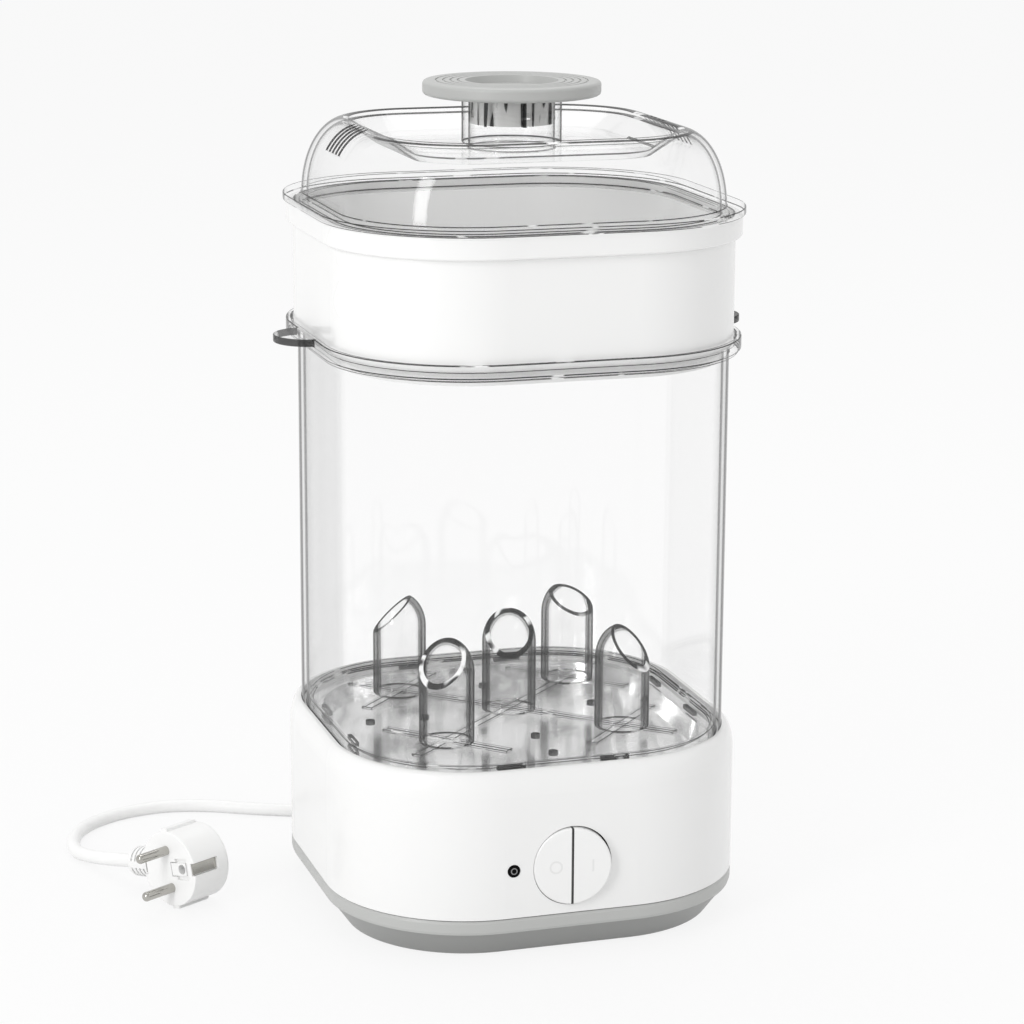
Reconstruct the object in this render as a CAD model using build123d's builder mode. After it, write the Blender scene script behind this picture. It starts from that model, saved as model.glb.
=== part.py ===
# Baby bottle sterilizer: a heated base, a lift-out rack, a clear chamber, a basket and a domed lid.
# Millimetres, +Z up, front towards -Y. The origin is on the table, under the middle of the footprint.
from build123d import *
import math
import os

# Footprint of the clear chamber, a square with round corners
footprint = 194.0
corner = 64.0

# Shared walls and fits
wall = 2.5
lift_gap = 0.3
side_gap = 0.4
press_gap = 0.02
running_gap = 0.06

# Bottom pan. Offsets are measured outwards from the footprint.
foot_drop = 1.5
foot_radius = 9.0
foot_recess = 1.0
foot_reach = 58.0
pan_height = 20.0
pan_band = 13.0
pan_toe = -5.0
pan_flare = 4.5
pan_lip = 5.9
pan_lip_round = 1.4
seam_gap = 0.6
tongue_height = 3.0
tongue_wall = 1.3
pan_vent_length = 34.0
pan_vent_width = 3.0
pan_vent_pitch = 9.0
pan_vent_count = 6

# Pan screws and the posts that take them
screw_reach = -12.0
post_radius = 5.0
boss_height = 14.5
screw_radius = 2.0
screw_length = 18.0
screw_head_radius = 3.8
screw_head_height = 2.8
screw_seat = 10.5
post_height = 34.0
web_thickness = 2.5

# Base housing
housing_offset = 6.0
housing_height = 73.1
shoulder_height = 12.1
shoulder_in = 4.5
rebate_depth = 3.6
ledge_width = 4.0
seal_step = 3.2
ledge_inner = -9.5

# Water dish, seal and heater
sheet = 1.0
seal_thickness = 1.2
dish_depth = 10.0
dish_draft = 3.0
heater_radius = 48.0
heater_thickness = 6.0
element_radius = 3.25
element_ring = 38.0
element_gap_angle = 32.0
pin_drop = 12.0
cold_pin_radius = 1.6
stud_radius = 2.0
stud_x = 15.0
stud_y = 24.0
stud_spare = 9.0
strap_width = 14.0
strap_thickness = 2.0
strap_drop = 16.5
strap_flange = 6.0
strap_clear = 1.0
nut_width = 7.0
nut_height = 3.2
thermostat_radius = 8.2
thermostat_height = 8.0
thermostat_ears = (22.4, 5.0)
thermostat_tab_pitch = 9.0
fuse_radius = 2.0
fuse_length = 11.0
fuse_x = 22.0

# Switch button and what carries it
switch_z = 45.8
button_radius = 19.1
button_gap = 0.6
button_face = 3.0
button_stand = 2.0
button_depth = 9.0
button_skirt = 1.8
button_round = 1.0
groove_width = 1.0
groove_depth = 1.2
off_angle = -6.0
pivot_setback = 5.5
pivot_radius = 1.5
pivot_length = 18.0
lug_height = 8.0
lug_width = 6.0
lug_depth = 5.0
cheek_gap = 0.3
cheek_width = 7.0
carrier_side = 42.0
carrier_thickness = 2.0
carrier_setback = 11.0
stake_reach = 17.0
stake_radius = 1.6
stake_boss = 3.5
stake_tip = 1.0
switch_box = (26.0, 15.0, 28.0)
tab_size = (6.3, 9.0, 0.8)
tab_pitch = 9.0
tab_count = 3

# Indicator lamp
lamp_x = -29.3
lamp_radius = 3.15
lamp_stand = 0.4
lamp_body_radius = 5.0
lamp_body_length = 14.0

# Bottle rack
rack_gap = 0.5
rack_rim_wall = 2.0
rack_rim_height = 4.9
rack_floor = 2.1
prong_radius = 13.5
prong_wall = 2.0
prong_height = 51.2
prong_x = 45.0
prong_y = 43.0
prong_cut_angle = 42.0
prong_ring_radius = 15.2
prong_ring_height = 2.4
centre_prong_turn = -105.0
rib_width = 6.0
rib_height = 1.3
rib_groove = 2.4
main_rib_length = 182.0
cross_rib_length = 70.0
drain_radius = 2.3
drain_inner = 44.0
drain_outer = 72.0
rim_slot_length = 14.0
rim_slot_width = 2.2
rim_slot_inset = 6.5

# Clear chamber
chamber_height = 198.7
mouth_depth = 4.0
mouth_lip = 5.8
mouth_lip_wall = 2.4
mouth_bead = 1.7
mouth_bead_in = 1.3
mouth_ledge = 2.3
lug_radius = 17.0
lug_tip = 21.5
lug_thickness = 3.6

# Accessory basket
basket_offset = 2.0
basket_height = 61.9
basket_wall = 2.8
band_height = 10.0
band_offset = 5.3
band_bevel = 0.9
mouth_step_depth = 5.7
mouth_step_offset = 1.6
skirt_depth = 7.3
basket_floor = 2.3
band_round = 1.2
floor_slot_length = 40.0
floor_slot_width = 4.0
floor_slot_rows = 11
floor_slot_pitch = 11.0
floor_slot_column = 48.0

# Domed lid
lid_flange = 6.7
lid_flange_height = 3.5
lid_skirt_depth = 4.5
lid_skirt_wall = 2.2
dome_foot = -2.5
dome_run = 22.0
dome_rise = 36.0
lid_wall = 2.5
recess_depth = 9.6
recess_run = 14.0
neck_radius = 24.2
neck_wall = 3.3
neck_height = 23.1
vent_angle = 63.0
vent_length = 20.0
vent_width = 2.2
vent_pitch = 5.75
vent_count = 5

# Disc handle
disc_radius = 43.0
disc_height = 6.8
disc_round = 1.8
disc_wall = 2.6
disc_dish_radius = 22.5
disc_dish_depth = 3.5
disc_dish_slope = 1.0
disc_neck_gap = 1.0
disc_groove_width = 0.9
disc_groove_depth = 0.5
disc_groove_radii = (26.0, 29.5, 33.0, 36.5)
disc_skirt_depth = 13.5
disc_skirt_wall = 2.0
window_width = 5.3
window_height = 3.5
window_drop = 8.6
window_count = 4
window_turn = -87.0
nub_stand = 1.5
nub_gap = 0.2

# Mains cord and what holds it
cord = 7.0
cord_z = 31.0
bush_radius = 8.9
bush_stand = 3.9
bush_body_radius = 6.3
bush_bore = 4.6
bush_round = 1.0
boot_length = 24.6
boot_root = 7.4
boot_tip = 4.6
stub_length = 31.0
clamp_size = (26.0, 8.0, 10.0)
clamp_y = 84.0
clamp_screw_x = 9.0
clamp_screw_radius = 1.6
clamp_screw_head = 3.0
clamp_screw_head_height = 2.1
clamp_screw_bite = 7.0
block_size = (30.0, 16.0, 12.0)
block_y = 56.0
block_stand = 10.0
block_hole = 1.7

# Coil of the cord, on the table behind the base
coil_half_turns = 5
coil_pitch = 7.6
coil_inner = 33.75
layer_rise = 7.6
floor_clear = 0.1

# Plug at the cord's end, lying on its side
plug_place = (-161.7, 20.6)
plug_turn = 121.2
plug_tilt = 12.0
plug_radius = 19.0
plug_depth = 24.0
plug_round = 2.5
plug_face_round = 0.5
plug_ridge_width = 4.6
plug_ridge_stand = 1.4
plug_ridge_length = 20.0
plug_neck = 17.0
plug_neck_round = 6.0
plug_neck_reach = 22.0
plug_boot_length = 16.0
plug_boot_root = 8.3
plug_boot_tip = 7.4
plug_boot_round = 2.4
boot_core = 4.8
boot_spine = 3.4
boot_slit_width = 1.2
boot_slit_pitch = 3.1
boot_slit_first = 2.0
boot_slit_count = 4
plug_pin_radius = 2.4
plug_pin_length = 19.0
plug_pin_pitch = 19.0
plug_pin_tip = 1.9
clip_channel = 6.4
clip_depth = 2.6
clip_width = 5.2
clip_thickness = 0.8
clip_length = 16.0
near_clip_length = 8.4
earth_hole_radius = 2.5
earth_hole_depth = 12.0
earth_hole_reach = 9.5
earth_pocket = (8.5, 10.8)
earth_pocket_depth = 1.5
earth_plate = (10.3, 6.4)
earth_plate_gap = 0.5
earth_plate_shift = 2.2

# Levels and lengths that follow from the sizes above
half = footprint / 2
flat = half - corner
seam_z = foot_drop + pan_height
band_z = foot_drop + pan_band
housing_top = seam_z + housing_height
seat_z = housing_top - rebate_depth
seal_z = seat_z - seal_step
dish_flange_z = seal_z + seal_thickness
dish_floor_z = dish_flange_z + sheet - dish_depth
chamber_base = seat_z + lift_gap
chamber_top = chamber_base + chamber_height
mouth_floor = chamber_top - mouth_depth
basket_seat = mouth_floor + lift_gap
basket_top = basket_seat + basket_height
lid_seat = basket_top + lift_gap
dome_z = lid_seat + lid_flange_height
crest_z = dome_z + dome_rise
crest = dome_foot - dome_run
recess_z = crest_z - recess_depth
neck_top = recess_z + neck_height
front_y = -(half + housing_offset)
inner_front_y = front_y + wall
rack_z = seat_z + lift_gap
rack_top = rack_z + rack_floor

os.makedirs("parts", exist_ok=True)


def outline(offset_out, mode=Mode.ADD):
    """The footprint moved outwards by offset_out, added to the open sketch."""
    side = footprint + 2 * offset_out
    RectangleRounded(side, side, corner + offset_out, mode=mode)


def save(piece, name):
    """Label a finished piece and write it."""
    piece.part.label = name
    export_step(piece.part, f"parts/{name}.step")


# The footprint as a path that starts at the middle of the front, for rims and walls with a profile.
with BuildLine() as rim_path:
    Line((0, -half), (flat, -half))
    CenterArc((flat, -flat), corner, -90, 90)
    Line((half, -flat), (half, flat))
    CenterArc((flat, flat), corner, 0, 90)
    Line((flat, half), (-flat, half))
    CenterArc((-flat, flat), corner, 90, 90)
    Line((-half, flat), (-half, -flat))
    CenterArc((-flat, -flat), corner, 180, 90)
    Line((-flat, -half), (0, -half))
rim = rim_path.wire()

# Profiles are drawn here: local X is the offset outwards and local Y is the height.
rim_plane = Plane(origin=(0, -half, 0), x_dir=(0, -1, 0), z_dir=(-1, 0, 0))


# Bottom pan: tapered skirt, rounded lip, tongue for the housing, screw bosses, foot recesses and vents.
pan_floor_z = foot_drop + wall
screw_spots = [
    (math.copysign(flat + (corner + screw_reach) * math.sqrt(0.5), x),
     math.copysign(flat + (corner + screw_reach) * math.sqrt(0.5), y))
    for x in (-1, 1)
    for y in (-1, 1)
]
foot_spots = [(x * foot_reach, y * foot_reach) for x in (-1, 1) for y in (-1, 1)]
tongue_out = housing_offset - wall - lift_gap
with BuildPart() as bottom_pan:
    with BuildSketch(rim_plane):
        with BuildLine():
            Polyline(
                (pan_toe - wall, foot_drop),
                (pan_toe, foot_drop),
                (pan_flare, band_z),
                (pan_lip - pan_lip_round / 3, band_z),
                (pan_lip, band_z + pan_lip_round),
                (pan_lip, seam_z - pan_lip_round),
                (pan_lip - pan_lip_round / 3, seam_z),
                (tongue_out, seam_z),
                (tongue_out, seam_z + tongue_height),
                (tongue_out - tongue_wall, seam_z + tongue_height),
                (tongue_out - tongue_wall, band_z),
                (pan_toe - wall / 3, pan_floor_z),
                (pan_toe - wall, pan_floor_z),
                close=True,
            )
        make_face()
    sweep(path=rim)
    with BuildSketch(Plane.XY.offset(foot_drop)):
        outline(pan_toe - wall / 2)
    extrude(amount=wall)
    with BuildSketch(Plane.XY.offset(foot_drop)):
        with Locations(*screw_spots):
            Circle(post_radius + wall / 5)
    extrude(amount=boss_height)
    with BuildSketch(Plane.XY.offset(foot_drop)):
        with Locations(*screw_spots):
            Circle(screw_head_radius + lift_gap)
    extrude(amount=screw_seat, mode=Mode.SUBTRACT)
    with BuildSketch(Plane.XY.offset(foot_drop)):
        with Locations(*screw_spots):
            Circle(screw_radius + lift_gap)
    extrude(amount=boss_height, mode=Mode.SUBTRACT)
    with BuildSketch(Plane.XY.offset(foot_drop)):
        with Locations(*foot_spots):
            Circle(foot_radius + side_gap / 4)
    extrude(amount=foot_recess, mode=Mode.SUBTRACT)
    with BuildSketch(Plane.XY.offset(foot_drop)):
        with GridLocations(0, pan_vent_pitch, 1, pan_vent_count):
            SlotOverall(pan_vent_length, pan_vent_width)
    extrude(amount=wall, mode=Mode.SUBTRACT)
    # Pedestals for the terminal block and the cord clamp
    with BuildSketch(Plane.XY.offset(pan_floor_z)):
        with Locations((0, block_y)):
            Rectangle(block_size[0] - wall, block_size[1] - wall)
    extrude(amount=block_stand)
    with BuildSketch(Plane.XY.offset(pan_floor_z)):
        with Locations((0, clamp_y)):
            Rectangle(clamp_size[0], clamp_size[1])
    extrude(amount=cord_z - cord / 2 - pan_floor_z)
    with BuildSketch(Plane.XY.offset(cord_z - cord / 2)):
        with Locations((-clamp_screw_x, clamp_y), (clamp_screw_x, clamp_y)):
            Circle(clamp_screw_radius + press_gap)
    extrude(amount=-clamp_size[2], mode=Mode.SUBTRACT)
save(bottom_pan, "bottom_pan")

with BuildPart() as rubber_feet:
    with BuildSketch():
        with Locations(*foot_spots):
            Circle(foot_radius)
    extrude(amount=foot_drop + foot_recess)
    chamfer(rubber_feet.faces().sort_by(Axis.Z)[0:4].edges(), foot_drop / 3)
save(rubber_feet, "rubber_feet")

with BuildPart() as pan_screws:
    with BuildSketch(Plane.XY.offset(foot_drop + screw_seat - screw_head_height)):
        with Locations(*screw_spots):
            Circle(screw_head_radius)
    extrude(amount=screw_head_height)
    with BuildSketch(Plane.XY.offset(foot_drop + screw_seat)):
        with Locations(*screw_spots):
            Circle(screw_radius)
    extrude(amount=screw_length)
save(pan_screws, "pan_screws")


# Base housing: straight wall, elliptical shoulder, rebate for the chamber, ledge for the dish.
housing_foot = seam_z + seam_gap
housing_inner = housing_offset - wall
post_z = foot_drop + boss_height
with BuildPart() as base_housing:
    with BuildSketch(rim_plane):
        with BuildLine():
            Polyline(
                (housing_offset - shoulder_in, housing_top),
                (side_gap, housing_top),
                (side_gap, seat_z),
                (-ledge_width, seat_z),
                (-ledge_width, seal_z),
                (ledge_inner, seal_z),
                (ledge_inner, seal_z - wall),
                (wall - ledge_width, seal_z - wall),
                (wall - ledge_width, seat_z - wall),
                (housing_inner, seat_z - wall),
                (housing_inner, housing_foot),
                (housing_offset, housing_foot),
                (housing_offset, housing_top - shoulder_height),
            )
            EllipticalCenterArc(
                (housing_offset - shoulder_in, housing_top - shoulder_height),
                shoulder_in,
                shoulder_height,
                start_angle=0,
                arc_size=90,
            )
        make_face()
    sweep(path=rim)
    # Posts over the pan's bosses, each tied to its corner by a web
    with BuildSketch(Plane.XY.offset(post_z)):
        with Locations(*screw_spots):
            Circle(post_radius)
    extrude(amount=post_height)
    web_length = housing_inner - screw_reach
    with BuildSketch(Plane.XY.offset(housing_foot + tongue_height)):
        for (x, y), turn in zip(screw_spots, (225, 135, 315, 45)):
            shift = web_length / 2 * math.sqrt(0.5)
            with Locations((x + math.copysign(shift, x), y + math.copysign(shift, y))):
                Rectangle(web_length + wall / 2, web_thickness, rotation=turn)
    extrude(amount=post_z + post_height - housing_foot - tongue_height)
    with BuildSketch(Plane.XY.offset(post_z)):
        with Locations(*screw_spots):
            Circle(screw_radius + press_gap)
    extrude(amount=screw_length, mode=Mode.SUBTRACT)
    # Front openings for the button and the lamp
    with BuildSketch(Plane.XZ.offset(-inner_front_y - wall)):
        with Locations((0, switch_z)):
            Circle(button_radius + button_gap)
        with Locations((lamp_x, switch_z)):
            Circle(lamp_radius + press_gap)
    extrude(amount=2 * wall, both=True, mode=Mode.SUBTRACT)
    # Bosses with staked tips for the switch carrier
    with BuildSketch(Plane.XZ.offset(-inner_front_y)):
        with Locations((0, switch_z)):
            with GridLocations(2 * stake_reach, 2 * stake_reach, 2, 2):
                Circle(stake_boss)
    extrude(amount=-(carrier_setback - wall))
    with BuildSketch(Plane.XZ.offset(-front_y - carrier_setback)):
        with Locations((0, switch_z)):
            with GridLocations(2 * stake_reach, 2 * stake_reach, 2, 2):
                Circle(stake_radius)
    extrude(amount=-(carrier_thickness + stake_tip))
    # Hole for the cord bush in the back
    with BuildSketch(Plane.XZ.offset(front_y + wall)):
        with Locations((0, cord_z)):
            Circle(bush_body_radius + press_gap)
    extrude(amount=2 * wall, both=True, mode=Mode.SUBTRACT)
save(base_housing, "base_housing")


# Water dish: a pressed steel tray whose flange sits on the seal.
dish_top = dish_flange_z + sheet
dish_wall_out = ledge_inner - side_gap
with BuildPart() as heating_plate:
    with BuildSketch(rim_plane):
        with BuildLine():
            Polyline(
                (-ledge_width - side_gap, dish_flange_z),
                (-ledge_width - side_gap, dish_top),
                (dish_wall_out - sheet, dish_top),
                (dish_wall_out - sheet - dish_draft, dish_floor_z),
                (dish_wall_out - 2 * sheet - dish_draft, dish_floor_z),
                (dish_wall_out - 2 * sheet - dish_draft, dish_floor_z - sheet),
                (dish_wall_out - dish_draft, dish_floor_z - sheet),
                (dish_wall_out, dish_flange_z),
                close=True,
            )
        make_face()
    sweep(path=rim)
    with BuildSketch(Plane.XY.offset(dish_floor_z - sheet)):
        outline(dish_wall_out - 1.5 * sheet - dish_draft)
    extrude(amount=sheet)
    # Studs that carry the heater and its straps
    stud_length = heater_thickness + strap_drop - dish_depth + nut_height + stud_spare
    with BuildSketch(Plane.XY.offset(dish_floor_z - sheet)):
        with GridLocations(2 * stud_x, 2 * stud_y, 2, 2):
            Circle(stud_radius)
    extrude(amount=-stud_length)
save(heating_plate, "heating_plate")

with BuildPart() as plate_seal:
    with BuildSketch(Plane.XY.offset(seal_z)):
        outline(-ledge_width - side_gap)
        outline(ledge_inner + side_gap / 2, mode=Mode.SUBTRACT)
    extrude(amount=seal_thickness)
save(plate_seal, "plate_seal")

heater_z = dish_floor_z - sheet - heater_thickness
with BuildPart() as heater_plate:
    with BuildSketch(Plane.XY.offset(heater_z)):
        Circle(heater_radius)
        with GridLocations(2 * stud_x, 2 * stud_y, 2, 2):
            Circle(stud_radius + side_gap, mode=Mode.SUBTRACT)
    extrude(amount=heater_thickness)
    with Locations((0, 0, heater_z)):
        Torus(element_ring, element_radius + running_gap, mode=Mode.SUBTRACT)
save(heater_plate, "heater_plate")

# Tubular element: an open ring that lies half in the heater's groove, with a cold pin at each end.
ring_start = element_gap_angle / 2
with BuildPart() as heating_element:
    with BuildLine(Plane.XY.offset(heater_z)) as element_path:
        CenterArc((0, 0), element_ring, ring_start, 360 - element_gap_angle)
    with BuildSketch(Plane(origin=element_path.line @ 0, z_dir=element_path.line % 0)):
        Circle(element_radius)
    sweep()
    for turn in (ring_start, -ring_start):
        spot = Vector(element_ring, 0).rotate(Axis.Z, turn)
        with BuildSketch(Plane.XY.offset(heater_z)):
            with Locations(spot):
                Circle(cold_pin_radius)
        extrude(amount=-pin_drop)
save(heating_element, "heating_element")

# Two hat-shaped straps under the ledge pull the dish down on its seal.
strap_top = seal_z - wall
strap_in = half + ledge_inner + strap_clear - strap_thickness
strap_ends = strap_in + strap_thickness + strap_flange
with BuildPart() as clamp_straps:
    for side in (-1, 1):
        with BuildSketch(Plane.XZ.offset(-side * stud_y)):
            with BuildLine():
                Polyline(
                    (-strap_ends, strap_top),
                    (-strap_in, strap_top),
                    (-strap_in, strap_top - strap_drop),
                    (strap_in, strap_top - strap_drop),
                    (strap_in, strap_top),
                    (strap_ends, strap_top),
                    (strap_ends, strap_top - strap_thickness),
                    (strap_in + strap_thickness, strap_top - strap_thickness),
                    (strap_in + strap_thickness, strap_top - strap_drop - strap_thickness),
                    (-strap_in - strap_thickness, strap_top - strap_drop - strap_thickness),
                    (-strap_in - strap_thickness, strap_top - strap_thickness),
                    (-strap_ends, strap_top - strap_thickness),
                    close=True,
                )
            make_face()
        extrude(amount=strap_width / 2, both=True)
    with BuildSketch(Plane.XY.offset(strap_top)):
        with GridLocations(2 * stud_x, 2 * stud_y, 2, 2):
            Circle(stud_radius + side_gap)
    extrude(amount=-2 * strap_drop, mode=Mode.SUBTRACT)
save(clamp_straps, "clamp_straps")

with BuildPart() as heater_nuts:
    with BuildSketch(Plane.XY.offset(strap_top - strap_drop - strap_thickness)):
        with GridLocations(2 * stud_x, 2 * stud_y, 2, 2):
            RegularPolygon(nut_width / 2, 6, major_radius=False)
            Circle(stud_radius + press_gap, mode=Mode.SUBTRACT)
    extrude(amount=-nut_height)
save(heater_nuts, "heater_nuts")

# Thermostat on the heater's underside, with two tabs.
with BuildPart() as thermostat:
    with BuildSketch(Plane.XY.offset(heater_z)):
        Circle(thermostat_radius)
    extrude(amount=-thermostat_height)
    with BuildSketch(Plane.XY.offset(heater_z)):
        Rectangle(*thermostat_ears)
    extrude(amount=-sheet)
    with BuildSketch(Plane.XY.offset(heater_z - thermostat_height)):
        with GridLocations(thermostat_tab_pitch, 0, 2, 1):
            Rectangle(tab_size[2], tab_size[0])
    extrude(amount=-tab_size[1])
save(thermostat, "thermostat")

# Thermal fuse, held against the heater by a spring clip.
fuse_z = heater_z - fuse_radius
with BuildPart() as thermal_fuse:
    with BuildSketch(Plane.XZ.offset(-fuse_length / 2)):
        with Locations((fuse_x, fuse_z)):
            Circle(fuse_radius)
    extrude(amount=fuse_length)
save(thermal_fuse, "thermal_fuse")

clip_span = 4 * fuse_radius + 6 * sheet
with BuildPart() as fuse_clip:
    with BuildSketch(Plane.XZ.offset(-fuse_length / 4)):
        with Locations((fuse_x, fuse_z)):
            Circle(fuse_radius + press_gap + sheet)
            with Locations((0, fuse_radius - sheet / 2)):
                Rectangle(clip_span, sheet)
            Circle(fuse_radius + press_gap, mode=Mode.SUBTRACT)
            with Locations((0, fuse_radius / 2)):
                Rectangle(2 * fuse_radius + 2 * press_gap, fuse_radius, mode=Mode.SUBTRACT)
            with Locations((0, 2 * fuse_radius)):
                Rectangle(clip_span, 2 * fuse_radius, mode=Mode.SUBTRACT)
    extrude(amount=fuse_length / 2)
save(fuse_clip, "fuse_clip")


# Switch carrier: a staked plate with the contact box behind it and two cheeks for the button's pivot.
pivot_y = front_y - button_stand + pivot_setback
carrier_y = front_y + carrier_setback
cheek_height = (pivot_length - lug_height) / 2 - cheek_gap
with BuildPart() as switch_body:
    with BuildSketch(Plane.XZ.offset(-carrier_y)):
        with Locations((0, switch_z)):
            Rectangle(carrier_side, carrier_side)
            with GridLocations(2 * stake_reach, 2 * stake_reach, 2, 2):
                Circle(stake_radius + press_gap, mode=Mode.SUBTRACT)
    extrude(amount=-carrier_thickness)
    with BuildSketch(Plane.XZ.offset(-carrier_y - carrier_thickness)):
        with Locations((0, switch_z)):
            Rectangle(switch_box[0], switch_box[2])
    extrude(amount=-switch_box[1])
    cheek_shift = lug_height / 2 + cheek_gap + cheek_height / 2
    with BuildSketch(Plane.XZ.offset(-carrier_y)):
        with Locations((0, switch_z - cheek_shift), (0, switch_z + cheek_shift)):
            Rectangle(cheek_width, cheek_height)
    extrude(amount=carrier_y - pivot_y + pivot_radius)
    with BuildSketch(Plane.XY.offset(switch_z)):
        with Locations((0, pivot_y)):
            Circle(pivot_radius + press_gap)
    extrude(amount=pivot_length, both=True, mode=Mode.SUBTRACT)
save(switch_body, "switch_body")

with BuildPart() as switch_terminals:
    with BuildSketch(Plane.XZ.offset(-carrier_y - carrier_thickness - switch_box[1])):
        with Locations((0, switch_z)):
            with GridLocations(0, tab_pitch, 1, tab_count):
                Rectangle(tab_size[0], tab_size[2])
    extrude(amount=-tab_size[1])
save(switch_terminals, "switch_terminals")

with BuildPart() as rocker_pivot_pin:
    with BuildSketch(Plane.XY.offset(switch_z - pivot_length / 2)):
        with Locations((0, pivot_y)):
            Circle(pivot_radius)
    extrude(amount=pivot_length)
save(rocker_pivot_pin, "rocker_pivot_pin")

# Button: a round cap split by an upright groove, built level and then set to OFF about its pivot.
cap_y = front_y - button_stand
with BuildPart() as level_button:
    with BuildSketch(Plane.XZ.offset(-cap_y)):
        with Locations((0, switch_z)):
            Circle(button_radius)
    extrude(amount=-button_depth)
    fillet(level_button.faces().sort_by(Axis.Y)[0].edges(), button_round)
    with BuildSketch(Plane.XZ.offset(-cap_y - button_face)):
        with Locations((0, switch_z)):
            Circle(button_radius - button_skirt)
    extrude(amount=-button_depth, mode=Mode.SUBTRACT)
    with BuildSketch(Plane.XZ.offset(-cap_y)):
        with Locations((0, switch_z)):
            Rectangle(groove_width, 3 * button_radius)
    extrude(amount=-groove_depth, mode=Mode.SUBTRACT)
    with BuildSketch(Plane.XZ.offset(-cap_y - button_face)):
        with Locations((0, switch_z)):
            Rectangle(lug_width, lug_height)
    extrude(amount=-lug_depth)
    with BuildSketch(Plane.XY.offset(switch_z)):
        with Locations((0, pivot_y)):
            Circle(pivot_radius + running_gap)
    extrude(amount=lug_height / 2, both=True, mode=Mode.SUBTRACT)
pivot_axis = Axis((0, pivot_y, switch_z), (0, 0, 1))
with BuildPart() as rocker_button:
    add(level_button.part.rotate(pivot_axis, off_angle))
save(rocker_button, "rocker_button")

# Lamp: a dark lens through the wall and its holder behind.
with BuildPart() as lamp_lens:
    with BuildSketch(Plane.XZ.offset(-front_y + lamp_stand)):
        with Locations((lamp_x, switch_z)):
            Circle(lamp_radius)
    extrude(amount=-(wall + lamp_stand + wall))
    fillet(lamp_lens.faces().sort_by(Axis.Y)[0].edges(), lamp_stand)
save(lamp_lens, "lamp_lens")

with BuildPart() as lamp_holder:
    with BuildSketch(Plane.XZ.offset(-inner_front_y - press_gap)):
        with Locations((lamp_x, switch_z)):
            Circle(lamp_body_radius)
    extrude(amount=-lamp_body_length)
    with BuildSketch(Plane.XZ.offset(-inner_front_y - press_gap)):
        with Locations((lamp_x, switch_z)):
            Circle(lamp_radius + press_gap)
    extrude(amount=-wall, mode=Mode.SUBTRACT)
save(lamp_holder, "lamp_holder")


# Rack: a shallow tray with ribs, drain holes and five slant-cut prongs.
rack_out = -wall - rack_gap
prong_spots = [(x * prong_x, y * prong_y) for x in (-1, 1) for y in (-1, 1)]
prong_turns = [math.degrees(math.atan2(y, x)) for x, y in prong_spots]
diagonal = math.degrees(math.atan2(prong_y, prong_x))

# One prong: a tube with its foot ring, its mouth cut on a slant that falls towards local +X.
with BuildPart() as prong:
    with BuildSketch():
        Circle(prong_radius)
    extrude(amount=prong_height)
    with BuildSketch():
        Circle(prong_ring_radius)
    extrude(amount=prong_ring_height)
    with BuildSketch():
        Circle(prong_radius - prong_wall)
    extrude(amount=prong_height, mode=Mode.SUBTRACT)
    fall = 2 * prong_radius * math.tan(math.radians(prong_cut_angle))
    with BuildSketch(Plane.XZ):
        with BuildLine():
            Polyline(
                (-prong_radius, prong_height),
                (prong_radius, prong_height - fall),
                (prong_radius + wall, prong_height - fall),
                (prong_radius + wall, prong_height + wall),
                (-prong_radius, prong_height + wall),
                close=True,
            )
        make_face()
    extrude(amount=2 * prong_radius, both=True, mode=Mode.SUBTRACT)

with BuildPart() as bottle_rack:
    with BuildSketch(Plane.XY.offset(rack_z)):
        outline(rack_out)
        outline(rack_out - rack_rim_wall, mode=Mode.SUBTRACT)
    extrude(amount=rack_rim_height)
    with BuildSketch(Plane.XY.offset(rack_z)):
        outline(rack_out - rack_rim_wall / 2)
    extrude(amount=rack_floor)
    # Ribs along both diagonals, and one across each of them at every corner prong
    with BuildSketch(Plane.XY.offset(rack_top)):
        for turn in (diagonal, -diagonal):
            Rectangle(main_rib_length, rib_width, rotation=turn)
        for spot, turn in zip(prong_spots, prong_turns):
            with Locations(spot):
                Rectangle(cross_rib_length, rib_width, rotation=turn + 90)
    extrude(amount=rib_height)
    with BuildSketch(Plane.XY.offset(rack_top + rib_height)):
        for turn in (diagonal, -diagonal):
            Rectangle(main_rib_length - rib_width, rib_groove, rotation=turn)
        for spot, turn in zip(prong_spots, prong_turns):
            with Locations(spot):
                Rectangle(cross_rib_length - rib_width, rib_groove, rotation=turn + 90)
    extrude(amount=-rib_height / 2, mode=Mode.SUBTRACT)
    # Clear the ribs from inside the prongs, then stand the prongs up
    with BuildSketch(Plane.XY.offset(rack_top)):
        with Locations((0, 0), *prong_spots):
            Circle(prong_radius - prong_wall / 2)
    extrude(amount=rib_height, mode=Mode.SUBTRACT)
    for spot, turn in zip(prong_spots, prong_turns):
        with Locations(Location((*spot, rack_top), (0, 0, turn))):
            add(prong.part)
    with Locations(Location((0, 0, rack_top), (0, 0, centre_prong_turn))):
        add(prong.part)
    # Drain holes, and slots beside the rim
    with BuildSketch(Plane.XY.offset(rack_z)):
        for reach in (drain_inner, drain_outer):
            with PolarLocations(reach, 4):
                Circle(drain_radius)
        with Locations((0, 0), *prong_spots):
            Circle(drain_radius)
        with PolarLocations(half + rack_out - rim_slot_inset, 4):
            for shift in (-1, 1):
                with Locations((0, shift * (flat - rim_slot_length / 2))):
                    Rectangle(rim_slot_width, rim_slot_length)
    extrude(amount=rack_floor, mode=Mode.SUBTRACT)
save(bottle_rack, "bottle_rack")


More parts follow.
